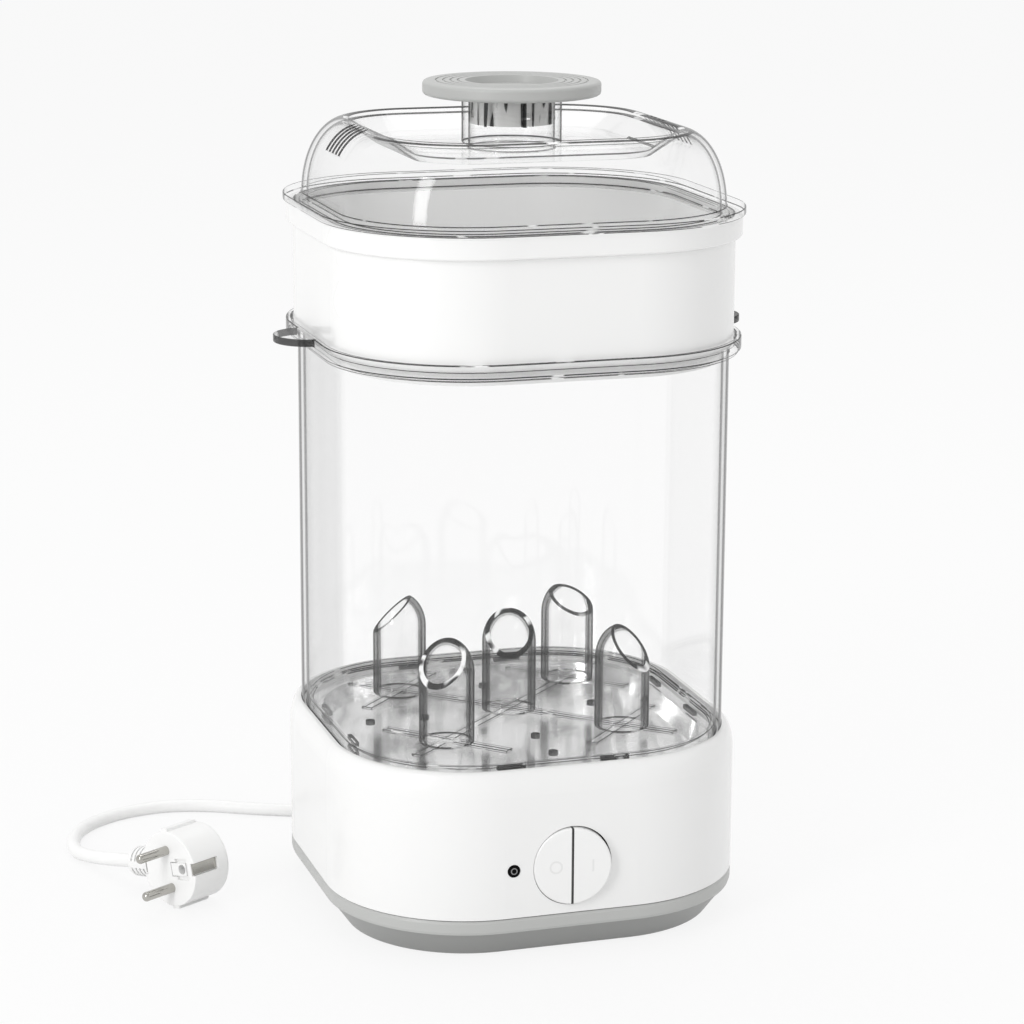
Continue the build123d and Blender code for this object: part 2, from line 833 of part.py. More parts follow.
# Chamber: a clear tube with a stepped mouth for the basket and a lifting lug on each side.
with BuildPart() as chamber:
    with BuildSketch(rim_plane) as chamber_profile:
        with BuildLine():
            Polyline(
                (0, chamber_base),
                (0, mouth_floor - mouth_ledge - mouth_bead),
                (mouth_lip - mouth_bead_in, mouth_floor - mouth_ledge - mouth_bead),
                (mouth_lip - mouth_bead_in, mouth_floor - mouth_ledge),
                (mouth_lip, mouth_floor - mouth_ledge),
                (mouth_lip, chamber_top),
                (mouth_lip - mouth_lip_wall, chamber_top),
                (mouth_lip - mouth_lip_wall, mouth_floor),
                (-wall, mouth_floor),
                (-wall, chamber_base),
                close=True,
            )
        make_face()
        fillet(chamber_profile.vertices().group_by(Axis.X)[-1], mouth_lip_wall / 3)
    sweep(path=rim)
    with BuildSketch(Plane.XY.offset(chamber_top - lug_thickness)):
        with Locations((half + lug_tip - lug_radius, 0), (-half - lug_tip + lug_radius, 0)):
            Circle(lug_radius)
        outline(mouth_lip - mouth_lip_wall / 2, mode=Mode.SUBTRACT)
    extrude(amount=lug_thickness)
save(chamber, "chamber")


# Basket: a white wall with a wider rim band, a skirt that drops into the mouth and a slotted floor.
basket_inner = basket_offset - basket_wall
skirt_out = -wall - side_gap
skirt_z = basket_seat - skirt_depth
with BuildPart() as accessory_basket:
    with BuildSketch(rim_plane) as basket_profile:
        with BuildLine():
            Polyline(
                (skirt_out, basket_seat),
                (basket_offset, basket_seat),
                (basket_offset, basket_top - band_height - band_bevel),
                (band_offset, basket_top - band_height),
                (band_offset, basket_top),
                (mouth_step_offset, basket_top),
                (mouth_step_offset, basket_top - mouth_step_depth),
                (basket_inner, basket_top - mouth_step_depth),
                (basket_inner, basket_seat + wall),
                (skirt_out - wall, basket_seat + wall),
                (skirt_out - wall, skirt_z),
                (skirt_out, skirt_z),
                close=True,
            )
        make_face()
        fillet(basket_profile.vertices().group_by(Axis.X)[-1], band_round)
    sweep(path=rim)
    with BuildSketch(Plane.XY.offset(skirt_z)):
        outline(skirt_out - wall / 2)
        with GridLocations(floor_slot_column, floor_slot_pitch, 3, floor_slot_rows):
            SlotOverall(floor_slot_length, floor_slot_width, mode=Mode.SUBTRACT)
    extrude(amount=basket_floor)
save(accessory_basket, "accessory_basket")


# Lid: a clear dome on a flange, sunk in the middle round a neck, with vents on both sides.
flange_skirt_out = mouth_step_offset - side_gap
with BuildPart() as lid:
    with BuildSketch(rim_plane):
        with BuildLine():
            Polyline(
                (dome_foot, dome_z),
                (lid_flange, dome_z),
                (lid_flange, lid_seat),
                (flange_skirt_out, lid_seat),
                (flange_skirt_out, lid_seat - lid_skirt_depth),
                (flange_skirt_out - lid_skirt_wall, lid_seat - lid_skirt_depth),
                (flange_skirt_out - lid_skirt_wall, lid_seat),
                (dome_foot - lid_wall, lid_seat),
                (dome_foot - lid_wall, dome_z),
            )
            EllipticalCenterArc(
                (crest, dome_z), dome_run - lid_wall, dome_rise - lid_wall, start_angle=0, arc_size=90
            )
            Polyline(
                (crest, crest_z - lid_wall),
                (crest - recess_run, recess_z - lid_wall),
                (crest - recess_run - wall, recess_z - lid_wall),
                (crest - recess_run - wall, recess_z),
                (crest - recess_run, recess_z),
                (crest, crest_z),
            )
            EllipticalCenterArc((crest, dome_z), dome_run, dome_rise, start_angle=0, arc_size=90)
        make_face()
    sweep(path=rim)
    with BuildSketch(Plane.XY.offset(recess_z - lid_wall)):
        outline(crest - recess_run - wall / 2)
    extrude(amount=lid_wall)
    with BuildSketch(Plane.XY.offset(recess_z)):
        Circle(neck_radius)
    extrude(amount=neck_height)
    with BuildSketch(Plane.XY.offset(recess_z - lid_wall)):
        Circle(neck_radius - neck_wall)
    extrude(amount=neck_height + lid_wall, mode=Mode.SUBTRACT)
    # Nubs inside the neck that snap into the handle's windows
    nub_z = neck_top - window_drop
    neck_bore = neck_radius - neck_wall
    with BuildSketch(Plane.XY.offset(nub_z - window_height / 2 + nub_gap)):
        with Locations(Location((0, 0, 0), (0, 0, window_turn))):
            with PolarLocations(neck_bore + neck_wall / 2 - nub_stand / 2, window_count):
                Rectangle(neck_wall / 2 + nub_stand, window_width - 2 * nub_gap)
        Circle(neck_bore - nub_stand, mode=Mode.SUBTRACT)
    extrude(amount=window_height - 2 * nub_gap)
    # Vents, square to the dome where it passes vent_angle on its ellipse
    vent = math.radians(vent_angle)
    vent_out = half + crest + dome_run * math.cos(vent)
    vent_z = dome_z + dome_rise * math.sin(vent)
    for side in (-1, 1):
        slope = (-side * dome_run * math.sin(vent), 0, dome_rise * math.cos(vent))
        normal = (side * dome_rise * math.cos(vent), 0, dome_run * math.sin(vent))
        with BuildSketch(Plane(origin=(side * vent_out, 0, vent_z), x_dir=slope, z_dir=normal)):
            with GridLocations(0, vent_pitch, 1, vent_count):
                SlotOverall(vent_length, vent_width)
        extrude(amount=2.5 * lid_wall, both=True, mode=Mode.SUBTRACT)
save(lid, "lid")


# Handle: a dished disc with ring grooves and a skirt that drops into the lid's neck.
skirt_radius = neck_radius - neck_wall - side_gap
disc_top = neck_top + disc_height
with BuildPart() as handle_disc:
    with BuildSketch(Plane.XZ) as disc_profile:
        with BuildLine():
            Polyline(
                (0, disc_top - disc_dish_depth),
                (disc_dish_radius - disc_dish_slope, disc_top - disc_dish_depth),
                (disc_dish_radius, disc_top),
                (disc_radius, disc_top),
                (disc_radius, neck_top),
                (disc_radius - disc_wall, neck_top),
                (disc_radius - disc_wall, disc_top - disc_wall),
                (neck_radius + disc_neck_gap, disc_top - disc_wall),
                (neck_radius + disc_neck_gap, neck_top),
                (skirt_radius, neck_top),
                (skirt_radius, neck_top - disc_skirt_depth),
                (skirt_radius - disc_skirt_wall, neck_top - disc_skirt_depth),
                (skirt_radius - disc_skirt_wall, disc_top - disc_dish_depth - disc_wall),
                (0, disc_top - disc_dish_depth - disc_wall),
                close=True,
            )
        make_face()
        fillet(disc_profile.vertices().group_by(Axis.X)[-1], disc_round)
        for radius in disc_groove_radii:
            with Locations((radius, disc_top)):
                Rectangle(disc_groove_width, 2 * disc_groove_depth, mode=Mode.SUBTRACT)
    revolve(axis=Axis.Z)
    with BuildSketch(Plane.XY.offset(neck_top - window_drop - window_height / 2)):
        with Locations(Location((0, 0, 0), (0, 0, window_turn))):
            with PolarLocations(skirt_radius, window_count):
                Rectangle(3 * disc_skirt_wall, window_width)
    extrude(amount=window_height, mode=Mode.SUBTRACT)
save(handle_disc, "handle_disc")


# Cord bush in the back wall, and the strain relief moulded on the cord that it grips.
back_y = -front_y
bush_y = back_y + bush_stand
with BuildPart() as cord_bush:
    with BuildSketch(Plane.XZ.offset(-back_y)):
        with Locations((0, cord_z)):
            Circle(bush_radius)
    extrude(amount=-bush_stand)
    with BuildSketch(Plane.XZ.offset(-back_y + 2 * wall)):
        with Locations((0, cord_z)):
            Circle(bush_body_radius)
    extrude(amount=-2 * wall)
    fillet(cord_bush.faces().sort_by(Axis.Y)[-1].edges(), bush_round)
    with BuildSketch(Plane.XZ.offset(-bush_y)):
        with Locations((0, cord_z)):
            Circle(bush_bore + press_gap)
    extrude(amount=bush_stand + 3 * wall, mode=Mode.SUBTRACT)
save(cord_bush, "cord_bush")

boot_end = bush_y + boot_length
with BuildPart() as cord_boot:
    with BuildSketch(Plane.XZ.offset(-back_y + 2 * wall)):
        with Locations((0, cord_z)):
            Circle(bush_bore)
    extrude(amount=-2 * wall - bush_stand)
    with BuildSketch(Plane.XZ.offset(-bush_y)):
        with Locations((0, cord_z)):
            Circle(boot_root)
    with BuildSketch(Plane.XZ.offset(-boot_end)):
        with Locations((0, cord_z)):
            Circle(boot_tip)
    loft()
    with BuildSketch(Plane.XZ.offset(-back_y + 2 * wall)):
        with Locations((0, cord_z)):
            Circle(cord / 2)
    extrude(amount=stub_length)
save(cord_boot, "cord_boot")

# Clamp over the cord and the terminal block, both on the pan's pedestals.
with BuildPart() as cord_clamp:
    with BuildSketch(Plane.XY.offset(cord_z - cord / 2)):
        with Locations((0, clamp_y)):
            Rectangle(clamp_size[0], clamp_size[1])
            with Locations((-clamp_screw_x, 0), (clamp_screw_x, 0)):
                Circle(clamp_screw_radius + side_gap / 2, mode=Mode.SUBTRACT)
    extrude(amount=clamp_size[2])
    with BuildSketch(Plane.XZ.offset(-clamp_y)):
        with Locations((0, cord_z)):
            Circle(cord / 2 + press_gap)
        with Locations((0, cord_z - cord / 4)):
            Rectangle(cord + 2 * press_gap, cord / 2)
    extrude(amount=clamp_size[1], both=True, mode=Mode.SUBTRACT)
save(cord_clamp, "cord_clamp")

with BuildPart() as clamp_screws:
    clamp_top = cord_z - cord / 2 + clamp_size[2]
    with BuildSketch(Plane.XY.offset(clamp_top)):
        with Locations((-clamp_screw_x, clamp_y), (clamp_screw_x, clamp_y)):
            Circle(clamp_screw_head)
    extrude(amount=clamp_screw_head_height)
    with BuildSketch(Plane.XY.offset(clamp_top)):
        with Locations((-clamp_screw_x, clamp_y), (clamp_screw_x, clamp_y)):
            Circle(clamp_screw_radius)
    extrude(amount=-(clamp_size[2] + clamp_screw_bite))
save(clamp_screws, "clamp_screws")

with BuildPart() as terminal_block:
    with BuildSketch(Plane.XY.offset(pan_floor_z + block_stand)):
        with Locations((0, block_y)):
            Rectangle(block_size[0], block_size[1])
    extrude(amount=block_size[2])
    with BuildSketch(Plane.XY.offset(pan_floor_z + block_stand + block_size[2])):
        with Locations((0, block_y)):
            with GridLocations(block_size[0] / 3, block_size[1] / 2, 3, 2):
                Circle(block_hole)
    extrude(amount=-block_size[2] / 2, mode=Mode.SUBTRACT)
save(terminal_block, "terminal_block")


def bend_radii(points):
    """The radius at each inner point of a route: 0.45 of the shorter run over tan of half the turn."""
    spots = [Vector(*p) for p in points]
    radii = []
    for before, at, after in zip(spots, spots[1:], spots[2:]):
        turn = math.radians((at - before).get_angle(after - at))
        shorter = min((at - before).length, (after - at).length)
        radii.append(0.45 * shorter / math.tan(turn / 2))
    return radii


# Routes of the cord: out of the boot and down to the table, and from the coil round to the plug.
table_z = cord / 2 + floor_clear
upper_z = table_z + layer_rise
coil_outer = coil_inner + (coil_half_turns // 2) * coil_pitch / 2
coil_start = (0.0, 232.0, table_z)
coil_centre = (coil_start[0] + coil_outer, coil_start[1] + cord)
coil_end = (coil_centre[0] + coil_outer, coil_start[1], upper_z)

lead_points = [
    (0.0, boot_end, cord_z),
    (0.0, 158.0, cord_z),
    (0.0, 196.0, table_z),
    coil_start,
]

boot_way = Vector(
    math.cos(math.radians(plug_turn)) * math.cos(math.radians(plug_tilt)),
    math.sin(math.radians(plug_turn)) * math.cos(math.radians(plug_tilt)),
    -math.sin(math.radians(plug_tilt)),
)
pin_way = Vector(
    math.cos(math.radians(plug_turn + 90)),
    math.sin(math.radians(plug_turn + 90)),
    0,
)
# The plug rests on the grip ridge that points down, tilted with the plug
ridge_down = (plug_radius + plug_ridge_stand) * math.cos(math.radians(plug_tilt))
ridge_edge = plug_ridge_width / 2 * math.sin(math.radians(plug_tilt))
plug_centre = Vector(*plug_place, ridge_down + ridge_edge + floor_clear)
plug_exit = plug_centre + boot_way * (plug_neck_reach + plug_boot_length)
touch_down = plug_exit + boot_way * ((plug_exit.Z - table_z) / -boot_way.Z)

tail_points = [
    coil_end,
    (coil_end[0], 206.0, upper_z),
    (77.0, 176.0, table_z),
    (60.0, 148.0, table_z),
    (30.0, 127.0, table_z),
    (-8.0, 118.0, table_z),
    (-47.0, 121.0, table_z),
    (-88.0, 132.0, table_z),
    (-134.0, 158.0, table_z),
    (-168.0, 155.0, table_z),
    (-193.0, 139.0, table_z),
    (-205.0, 114.0, table_z),
    (touch_down.X, touch_down.Y, table_z),
    (plug_exit.X, plug_exit.Y, plug_exit.Z),
]


def report_tube(name, piece, path):
    """Print a tube's length, and its volume against its section times its length."""
    section = math.pi * cord**2 / 4
    ratio = piece.part.volume / section / path.length
    print(f"{name}: length {path.length:.1f} mm, volume ratio {ratio:.5f}")


for name, points in (("cord_lead", lead_points), ("cord_tail", tail_points)):
    radii = bend_radii(points)
    print(name, "bend radii", [round(r, 1) for r in radii])
    with BuildPart() as tube:
        with BuildLine() as route:
            FilletPolyline(*points, radius=radii)
        with BuildSketch(Plane(origin=route.line @ 0, z_dir=route.line % 0)):
            Circle(cord / 2)
        sweep()
    report_tube(name, tube, route.wire())
    save(tube, name)

# Coil: half turns that wind in on the table, climb a layer in the innermost one and wind out on top.
with BuildPart() as cord_coil:
    with BuildLine() as coil_path:
        at = Vector(*coil_start)
        Line(at, at + Vector(0, cord, 0))
        at = at + Vector(0, cord, 0)
        for turn in range(coil_half_turns):
            across = 1 if turn % 2 == 0 else -1
            from_middle = abs(turn - coil_half_turns // 2)
            radius = coil_inner + from_middle * coil_pitch / 2
            rise = layer_rise if from_middle == 0 else 0
            end = at + Vector(2 * radius * across, 0, rise)
            reach = math.hypot(2 * radius, rise) / 2
            middle = at + Vector(radius * across, reach * across, rise / 2)
            TangentArc(at, middle, tangent=(0, across, 0))
            TangentArc(middle, end, tangent=(2 * radius * across, 0, rise))
            at = end
        Line(at, at + Vector(0, -cord, 0))
    with BuildSketch(Plane(origin=coil_path.line @ 0, z_dir=coil_path.line % 0)):
        Circle(cord / 2)
    sweep()
coil_wire = coil_path.wire()
report_tube("cord_coil", cord_coil, coil_wire)
save(cord_coil, "cord_coil")

# The coil's least gap to itself, between points that lie over three diameters apart along it
steps = 400
coil_spots = [coil_wire.position_at(i / steps) for i in range(steps + 1)]
apart = math.ceil(3 * cord / (coil_wire.length / steps))
least = min(
    (coil_spots[i] - coil_spots[j]).length
    for i in range(steps + 1)
    for j in range(i + apart, steps + 1)
)
print(f"cord_coil: least gap to itself {least - cord:.2f} mm")


# Plug: a round angled body with grip ridges, two pins, an earth hole, two earth clips and a slit boot.
plug_plane = Plane(origin=plug_centre, x_dir=boot_way, z_dir=pin_way)
neck_plane = Plane(origin=plug_centre, x_dir=pin_way, z_dir=boot_way)
boot_plane = neck_plane.offset(plug_neck_reach)
plug_face = plug_depth / 2
with BuildPart() as plug_body:
    with BuildSketch(plug_plane.offset(-plug_face)):
        Circle(plug_radius)
    extrude(amount=plug_depth)
    ends = plug_body.faces().sort_by(Axis(plug_centre, pin_way))
    fillet(ends[0].edges(), plug_round)
    fillet(ends[-1].edges(), plug_face_round)
    with BuildSketch(neck_plane):
        RectangleRounded(plug_neck, plug_neck, plug_neck_round)
    extrude(amount=plug_neck_reach)
    # Grip ridges on both sides, in line with the pins, with rounded backs
    with BuildSketch(plug_plane.offset(plug_face - plug_face_round)):
        Rectangle(plug_ridge_width, 2 * (plug_radius + plug_ridge_stand))
    extrude(amount=-plug_ridge_length)
    backs = plug_body.edges().filter_by(lambda e: abs(e.length - plug_ridge_width) < 0.01)
    fillet(backs.group_by(Axis(plug_centre, pin_way))[0], plug_ridge_stand * 0.9)
    # Channels for the earth clips: a long one opposite the cord, a short one over the neck
    with BuildSketch(plug_plane.offset(plug_face)):
        with Locations((-plug_radius, 0)):
            Rectangle(2 * clip_depth, clip_channel)
    extrude(amount=-clip_length, mode=Mode.SUBTRACT)
    with BuildSketch(plug_plane.offset(plug_face)):
        with Locations((plug_radius, 0)):
            Rectangle(2 * clip_depth, clip_channel)
    extrude(amount=-near_clip_length, mode=Mode.SUBTRACT)
    # Earth hole in a raised plate that stands in a pocket
    with BuildSketch(plug_plane.offset(plug_face)):
        with Locations((-earth_hole_reach, 0)):
            Rectangle(*earth_pocket)
            with Locations((earth_plate_shift, 0)):
                Rectangle(earth_plate[0] + 2 * earth_plate_gap, earth_plate[1] + 2 * earth_plate_gap)
                Rectangle(*earth_plate, mode=Mode.SUBTRACT)
    extrude(amount=-earth_pocket_depth, mode=Mode.SUBTRACT)
    with BuildSketch(plug_plane.offset(plug_face)):
        with Locations((-earth_hole_reach, 0)):
            Circle(earth_hole_radius)
    extrude(amount=-earth_hole_depth, mode=Mode.SUBTRACT)
save(plug_body, "plug_body")

with BuildPart() as plug_pins:
    with BuildSketch(plug_plane.offset(plug_face)):
        with GridLocations(0, plug_pin_pitch, 1, 2):
            Circle(plug_pin_radius)
    extrude(amount=plug_pin_length)
    tips = plug_pins.faces().sort_by(Axis(plug_centre, pin_way))[-2:]
    fillet(tips.edges(), plug_pin_tip)
save(plug_pins, "plug_pins")

clip_x = plug_radius - clip_depth + clip_thickness / 2
with BuildPart() as plug_earth_clips:
    for side, length in ((-1, clip_length), (1, near_clip_length)):
        with BuildSketch(plug_plane.offset(plug_face - plug_face_round)):
            with Locations((side * clip_x, 0)):
                Rectangle(clip_thickness, clip_width)
        extrude(amount=plug_face_round - length)
save(plug_earth_clips, "plug_earth_clips")

# The boot bends at its rows of slits, which leave a core and two spines
with BuildPart() as plug_boot:
    with BuildSketch(boot_plane):
        Circle(plug_boot_root)
    with BuildSketch(boot_plane.offset(plug_boot_length)):
        Circle(plug_boot_tip)
    loft()
    fillet(plug_boot.faces().sort_by(Axis(plug_centre, boot_way))[-1].edges(), plug_boot_round)
    for row in range(boot_slit_count):
        with BuildSketch(boot_plane.offset(boot_slit_first + row * boot_slit_pitch)):
            Circle(plug_boot_root + wall)
            Circle(boot_core, mode=Mode.SUBTRACT)
            Rectangle(2 * (plug_boot_root + wall), boot_spine, mode=Mode.SUBTRACT)
        extrude(amount=boot_slit_width, mode=Mode.SUBTRACT)
save(plug_boot, "plug_boot")

print(f"pivot of the button: y {pivot_y:.3f}, z {switch_z:.3f}")
print(f"levels: seat {seat_z:.2f}, rack {rack_top:.2f}, chamber {chamber_top:.2f}, basket {basket_top:.2f}")
print(f"levels: dome {dome_z:.2f}, crest {crest_z:.2f}, neck {neck_top:.2f}, top {disc_top:.2f}")
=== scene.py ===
"""Dresses the baby bottle sterilizer with its finishes, clear pieces and cord, in a plain studio."""

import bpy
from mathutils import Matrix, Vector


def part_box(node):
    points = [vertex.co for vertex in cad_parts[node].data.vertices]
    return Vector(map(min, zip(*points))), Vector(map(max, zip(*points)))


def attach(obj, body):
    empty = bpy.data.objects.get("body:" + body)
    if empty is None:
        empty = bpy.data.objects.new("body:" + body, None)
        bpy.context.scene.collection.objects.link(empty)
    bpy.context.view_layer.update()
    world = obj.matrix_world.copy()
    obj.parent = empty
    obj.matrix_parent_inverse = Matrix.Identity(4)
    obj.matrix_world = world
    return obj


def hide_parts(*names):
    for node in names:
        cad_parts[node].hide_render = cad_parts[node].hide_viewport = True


bl_info = {
    "name": "Baby Bottle Sterilizer",
    "version": (1, 0, 0),
    "blender": (4, 5, 0),
    "location": "3D View > Sidebar > Sterilizer",
    "description": "Finishes, clear pieces, cord and studio of a baby bottle sterilizer",
    "category": "Object",
}

import math

import bmesh
import bpy
from bpy.props import FloatProperty, FloatVectorProperty, PointerProperty
from mathutils import Matrix, Vector

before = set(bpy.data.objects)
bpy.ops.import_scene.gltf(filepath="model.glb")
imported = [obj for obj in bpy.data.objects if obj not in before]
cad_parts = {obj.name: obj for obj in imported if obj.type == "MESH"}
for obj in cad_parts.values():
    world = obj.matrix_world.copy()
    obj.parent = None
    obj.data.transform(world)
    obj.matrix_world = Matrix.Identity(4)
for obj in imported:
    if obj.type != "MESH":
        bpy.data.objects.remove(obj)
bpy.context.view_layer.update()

MM = 0.001


def low(node):
    """A CAD node's lowest corner in millimetres."""
    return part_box(node)[0] / MM


def high(node):
    """A CAD node's highest corner in millimetres."""
    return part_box(node)[1] / MM


# The footprint of the clear chamber, a square with round corners, and the wall of the clear pieces
HALF = 97.0
CORNER = 64.0
FLAT = HALF - CORNER
CORNER_STEPS = 20
CLEAR_WALL = 2.5

# How round the cut edges of the chamber and the prongs are
CUT_ROUND = 0.45

# The underside of the disc's rim, from which its skirt hangs, and the skirt's foot. Below the rim the handle
# is painted paler, a painted reflection of the clear neck around it
DISC_FOOT = high("handle_disc").z - 6.8
SKIRT_FOOT = low("handle_disc").z

# The foot of the pan's upright band, under which its skirt tapers in and is painted darker as painted shade,
# while the band above is painted lighter as lit
PAN_BAND = low("bottom_pan").z + 13.2

# The rocker on the front, with painted shade along its groove and its faint marks, and the lamp beside it
# with a painted highlight ring
SWITCH_Z = 45.8
GROOVE_SHADE_X = -0.55
GROOVE_SHADE_REACH = 0.6
RING_X = -8.6
RING_RADIUS = 2.8
BAR_X = 9.4
BAR_REACH = 3.0
MARK_REACH = 0.45
LAMP_X = -29.3
LAMP_HIGHLIGHT_RADIUS = 1.4
LAMP_HIGHLIGHT_REACH = 0.25

# How much painted dark, standing for the dark that clear plastic refracts at its edges, covers each clear
# piece as it turns edge on, from 0 to 1
WALL_STOPS = ((0.62, 0.0), (0.79, 0.14), (0.83, 0.85), (1.0, 0.98))
DOME_STOPS = ((0.72, 0.0), (0.82, 0.15), (0.86, 0.85), (1.0, 0.98))
TRAY_STOPS = ((0.8, 0.0), (0.9, 0.3), (1.0, 0.9))
TUBE_STOPS = ((0.3, 0.0), (0.43, 0.08), (0.5, 0.5), (0.62, 0.4), (0.7, 0.92), (1.0, 1.0))
NECK_STOPS = ((0.4, 0.0), (0.6, 0.1), (0.72, 0.25), (0.78, 0.9), (1.0, 1.0))
FLAT_STOPS = ((0.93, 0.0), (0.97, 0.3), (1.0, 0.7))
PAINTED_STREAK_STOPS = ((0.63, 0.0), (0.65, 0.9))

# How bright a cut edge is painted along its noise: painted nearly black for the dark it refracts, apart from
# painted glints
PAINTED_EDGE_GLINTS = ((0.0, 0.01), (0.64, 0.02), (0.67, 0.9), (0.72, 0.9), (0.75, 0.02))
PAINTED_PRONG_GLINTS = ((0.0, 0.01), (0.54, 0.02), (0.58, 0.95), (0.64, 0.9), (0.68, 0.02))

# The painted reflection on the dish, light and dark stripes in its colour: their heading, which is the
# camera's, their stretch and their tones
BAND_TURN = math.radians(-17.5)
BAND_STRETCH = 14.0
PAINTED_REFLECTION_STOPS = ((0.36, 0.35), (0.43, 0.6), (0.47, 1.0), (0.53, 0.95), (0.56, 0.55), (0.63, 1.0))

# The angle from which an edge is shaded sharp, and the most finishes that one piece has
SHADING_ANGLE = math.radians(50)
MOST_FINISHES = 4

WHITE = (1.0, 1.0, 1.0, 1.0)
PLASTIC_IOR = 1.49
PLASTIC_GRAIN = 2400.0
COAT_ROUGHNESS = 0.08

# The floor: its reach in metres, its shade, and how much of it shows as plain light of what strength
FLOOR_REACH = 6.0
FLOOR_SHADE = (0.8, 0.8, 0.8)
FLOOR_GLOW = 0.87
FLOOR_LIGHT = 0.99

# How bright the sky is in gloss and through clear pieces, and how much more so straight to the camera
SKY_MIRRORED = 0.83
SKY_CAMERA_MORE = 0.14

# How many clear faces one ray may cross
CLEAR_BOUNCES = 48

# What the lamps face, and each lamp's place, width, height and share of the key lamp's power
LAMP_TARGET = (0.0, 0.0, 0.2)
LAMPS = {
    "key_lamp": ((-1.5, -1.0, 0.9), 0.4, 1.5, 1.0),
    "fill_lamp": ((1.4, -0.9, 0.9), 1.2, 1.2, 0.1),
    "top_lamp": ((0.2, 0.8, 2.2), 1.4, 1.4, 0.9),
}


class Value:
    """A shader socket with Python's operators, so that an expression on values adds its Math nodes."""

    def __init__(self, finish, socket):
        self.finish = finish
        self.socket = socket

    def math(self, operation, first, second):
        return self.finish.math(operation, first, second)

    def __add__(self, other):
        return self.math("ADD", self, other)

    def __radd__(self, other):
        return self.math("ADD", other, self)

    def __sub__(self, other):
        return self.math("SUBTRACT", self, other)

    def __rsub__(self, other):
        return self.math("SUBTRACT", other, self)

    def __mul__(self, other):
        return self.math("MULTIPLY", self, other)

    def __rmul__(self, other):
        return self.math("MULTIPLY", other, self)

    def __pow__(self, other):
        return self.math("POWER", self, other)


class Finish:
    """The nodes of a material or a world. Each gets its settings first and then its sockets."""

    def __init__(self, name, kind="Material"):
        library = bpy.data.worlds if kind == "World" else bpy.data.materials
        self.kind = kind
        self.owner = library.new(name)
        self.owner.use_nodes = True
        self.tree = self.owner.node_tree
        self.tree.nodes.clear()

    def add(self, kind, settings=None, inputs=None, output=0):
        """Add a node of that type and return one of its outputs."""
        node = self.tree.nodes.new(kind)
        for key, value in (settings or {}).items():
            if key == "stops":
                stops = node.color_ramp.elements
                while len(stops) < len(value):
                    stops.new(1.0)
                for stop, (place, shade) in zip(stops, value):
                    stop.position = place
                    stop.color = (shade, shade, shade, 1.0)
            else:
                setattr(node, key, value)
        for key, value in (inputs or {}).items():
            if isinstance(value, Value):
                self.tree.links.new(value.socket, node.inputs[key])
            else:
                node.inputs[key].default_value = value
        return Value(self, node.outputs[output])

    def math(self, operation, first, second):
        """A Math node on two values."""
        return self.add("ShaderNodeMath", {"operation": operation}, {0: first, 1: second})

    def spot(self):
        """Object coordinates in metres."""
        return self.add("ShaderNodeTexCoord", output="Object")

    def along(self, axis):
        """The Object coordinate along x, y or z, as 0, 1 or 2."""
        return self.add("ShaderNodeSeparateXYZ", inputs={0: self.spot()}, output=axis)

    def noise(self, scale, detail=2.0, stretch=(1, 1, 1)):
        """Noise from 0 to 1 whose grains are about 1 / scale metres across."""
        where = self.add("ShaderNodeMapping", inputs={"Vector": self.spot(), "Scale": stretch})
        return self.add("ShaderNodeTexNoise", inputs={"Vector": where, "Scale": scale, "Detail": detail})

    def ramp(self, value, stops):
        """A value taken through a ramp of (place, grey) stops."""
        return self.add("ShaderNodeValToRGB", {"stops": stops}, {"Fac": value})

    def blend(self, mask, first, second):
        """A colour that goes from first to second as mask goes from 0 to 1."""
        inputs = {"Factor": mask, 6: colour(first), 7: colour(second)}
        return self.add("ShaderNodeMix", {"data_type": "RGBA"}, inputs, output=2)

    def bump(self, height, depth, strength=1.0):
        """A normal from a height of 0 to 1, where 1 stands depth metres proud."""
        inputs = {"Height": height, "Distance": depth, "Strength": strength}
        return self.add("ShaderNodeBump", inputs=inputs)

    def near(self, value, centre, reach):
        """1 where a value lies within reach of centre, else 0."""
        return self.add("ShaderNodeMath", {"operation": "COMPARE"}, {0: value, 1: centre, 2: reach})

    def ring(self, x, z, radius, reach):
        """1 within reach of an upright ring about x and z, in millimetres, else 0."""
        away = ((self.along(0) - x * MM) ** 2 + (self.along(2) - z * MM) ** 2) ** 0.5
        return self.near(away, radius * MM, reach * MM)

    def ray(self, kind):
        """1 on a ray of that kind, else 0."""
        return self.add("ShaderNodeLightPath", output=f"Is {kind} Ray")

    def seen(self):
        """1 on a ray from the camera, off a gloss or through a clear piece, else 0."""
        rays = self.ray("Camera") + self.ray("Glossy") + self.ray("Transmission")
        return self.math("MINIMUM", rays, 1.0)

    def surface(self, **inputs):
        """A Principled shader. Spaces in socket names are written as underscores."""
        sockets = {key.replace("_", " "): value for key, value in inputs.items()}
        sockets["Base Color"] = colour(sockets["Base Color"])
        return self.add("ShaderNodeBsdfPrincipled", inputs=sockets)

    def film(self, shade):
        """A surface that the view passes straight through, tinted by a grey."""
        return self.add("ShaderNodeBsdfTransparent", inputs={"Color": colour((shade, shade, shade))})

    def mix(self, share, first, second):
        """A shader that goes from first to second as share goes from 0 to 1."""
        return self.add("ShaderNodeMixShader", inputs={0: share, 1: first, 2: second})

    def close(self, shader):
        """Link the shader to the output and return the material or world."""
        out = self.tree.nodes.new(f"ShaderNodeOutput{self.kind}")
        self.tree.links.new(shader.socket, out.inputs["Surface"])
        return self.owner


def colour(shade):
    """An RGBA tuple from three numbers; a linked value stays as it is."""
    return shade if isinstance(shade, Value) else (*tuple(shade)[:3], 1.0)


def scaled(shade, factor):
    """A colour with each channel times factor."""
    return tuple(channel * factor for channel in tuple(shade)[:3])


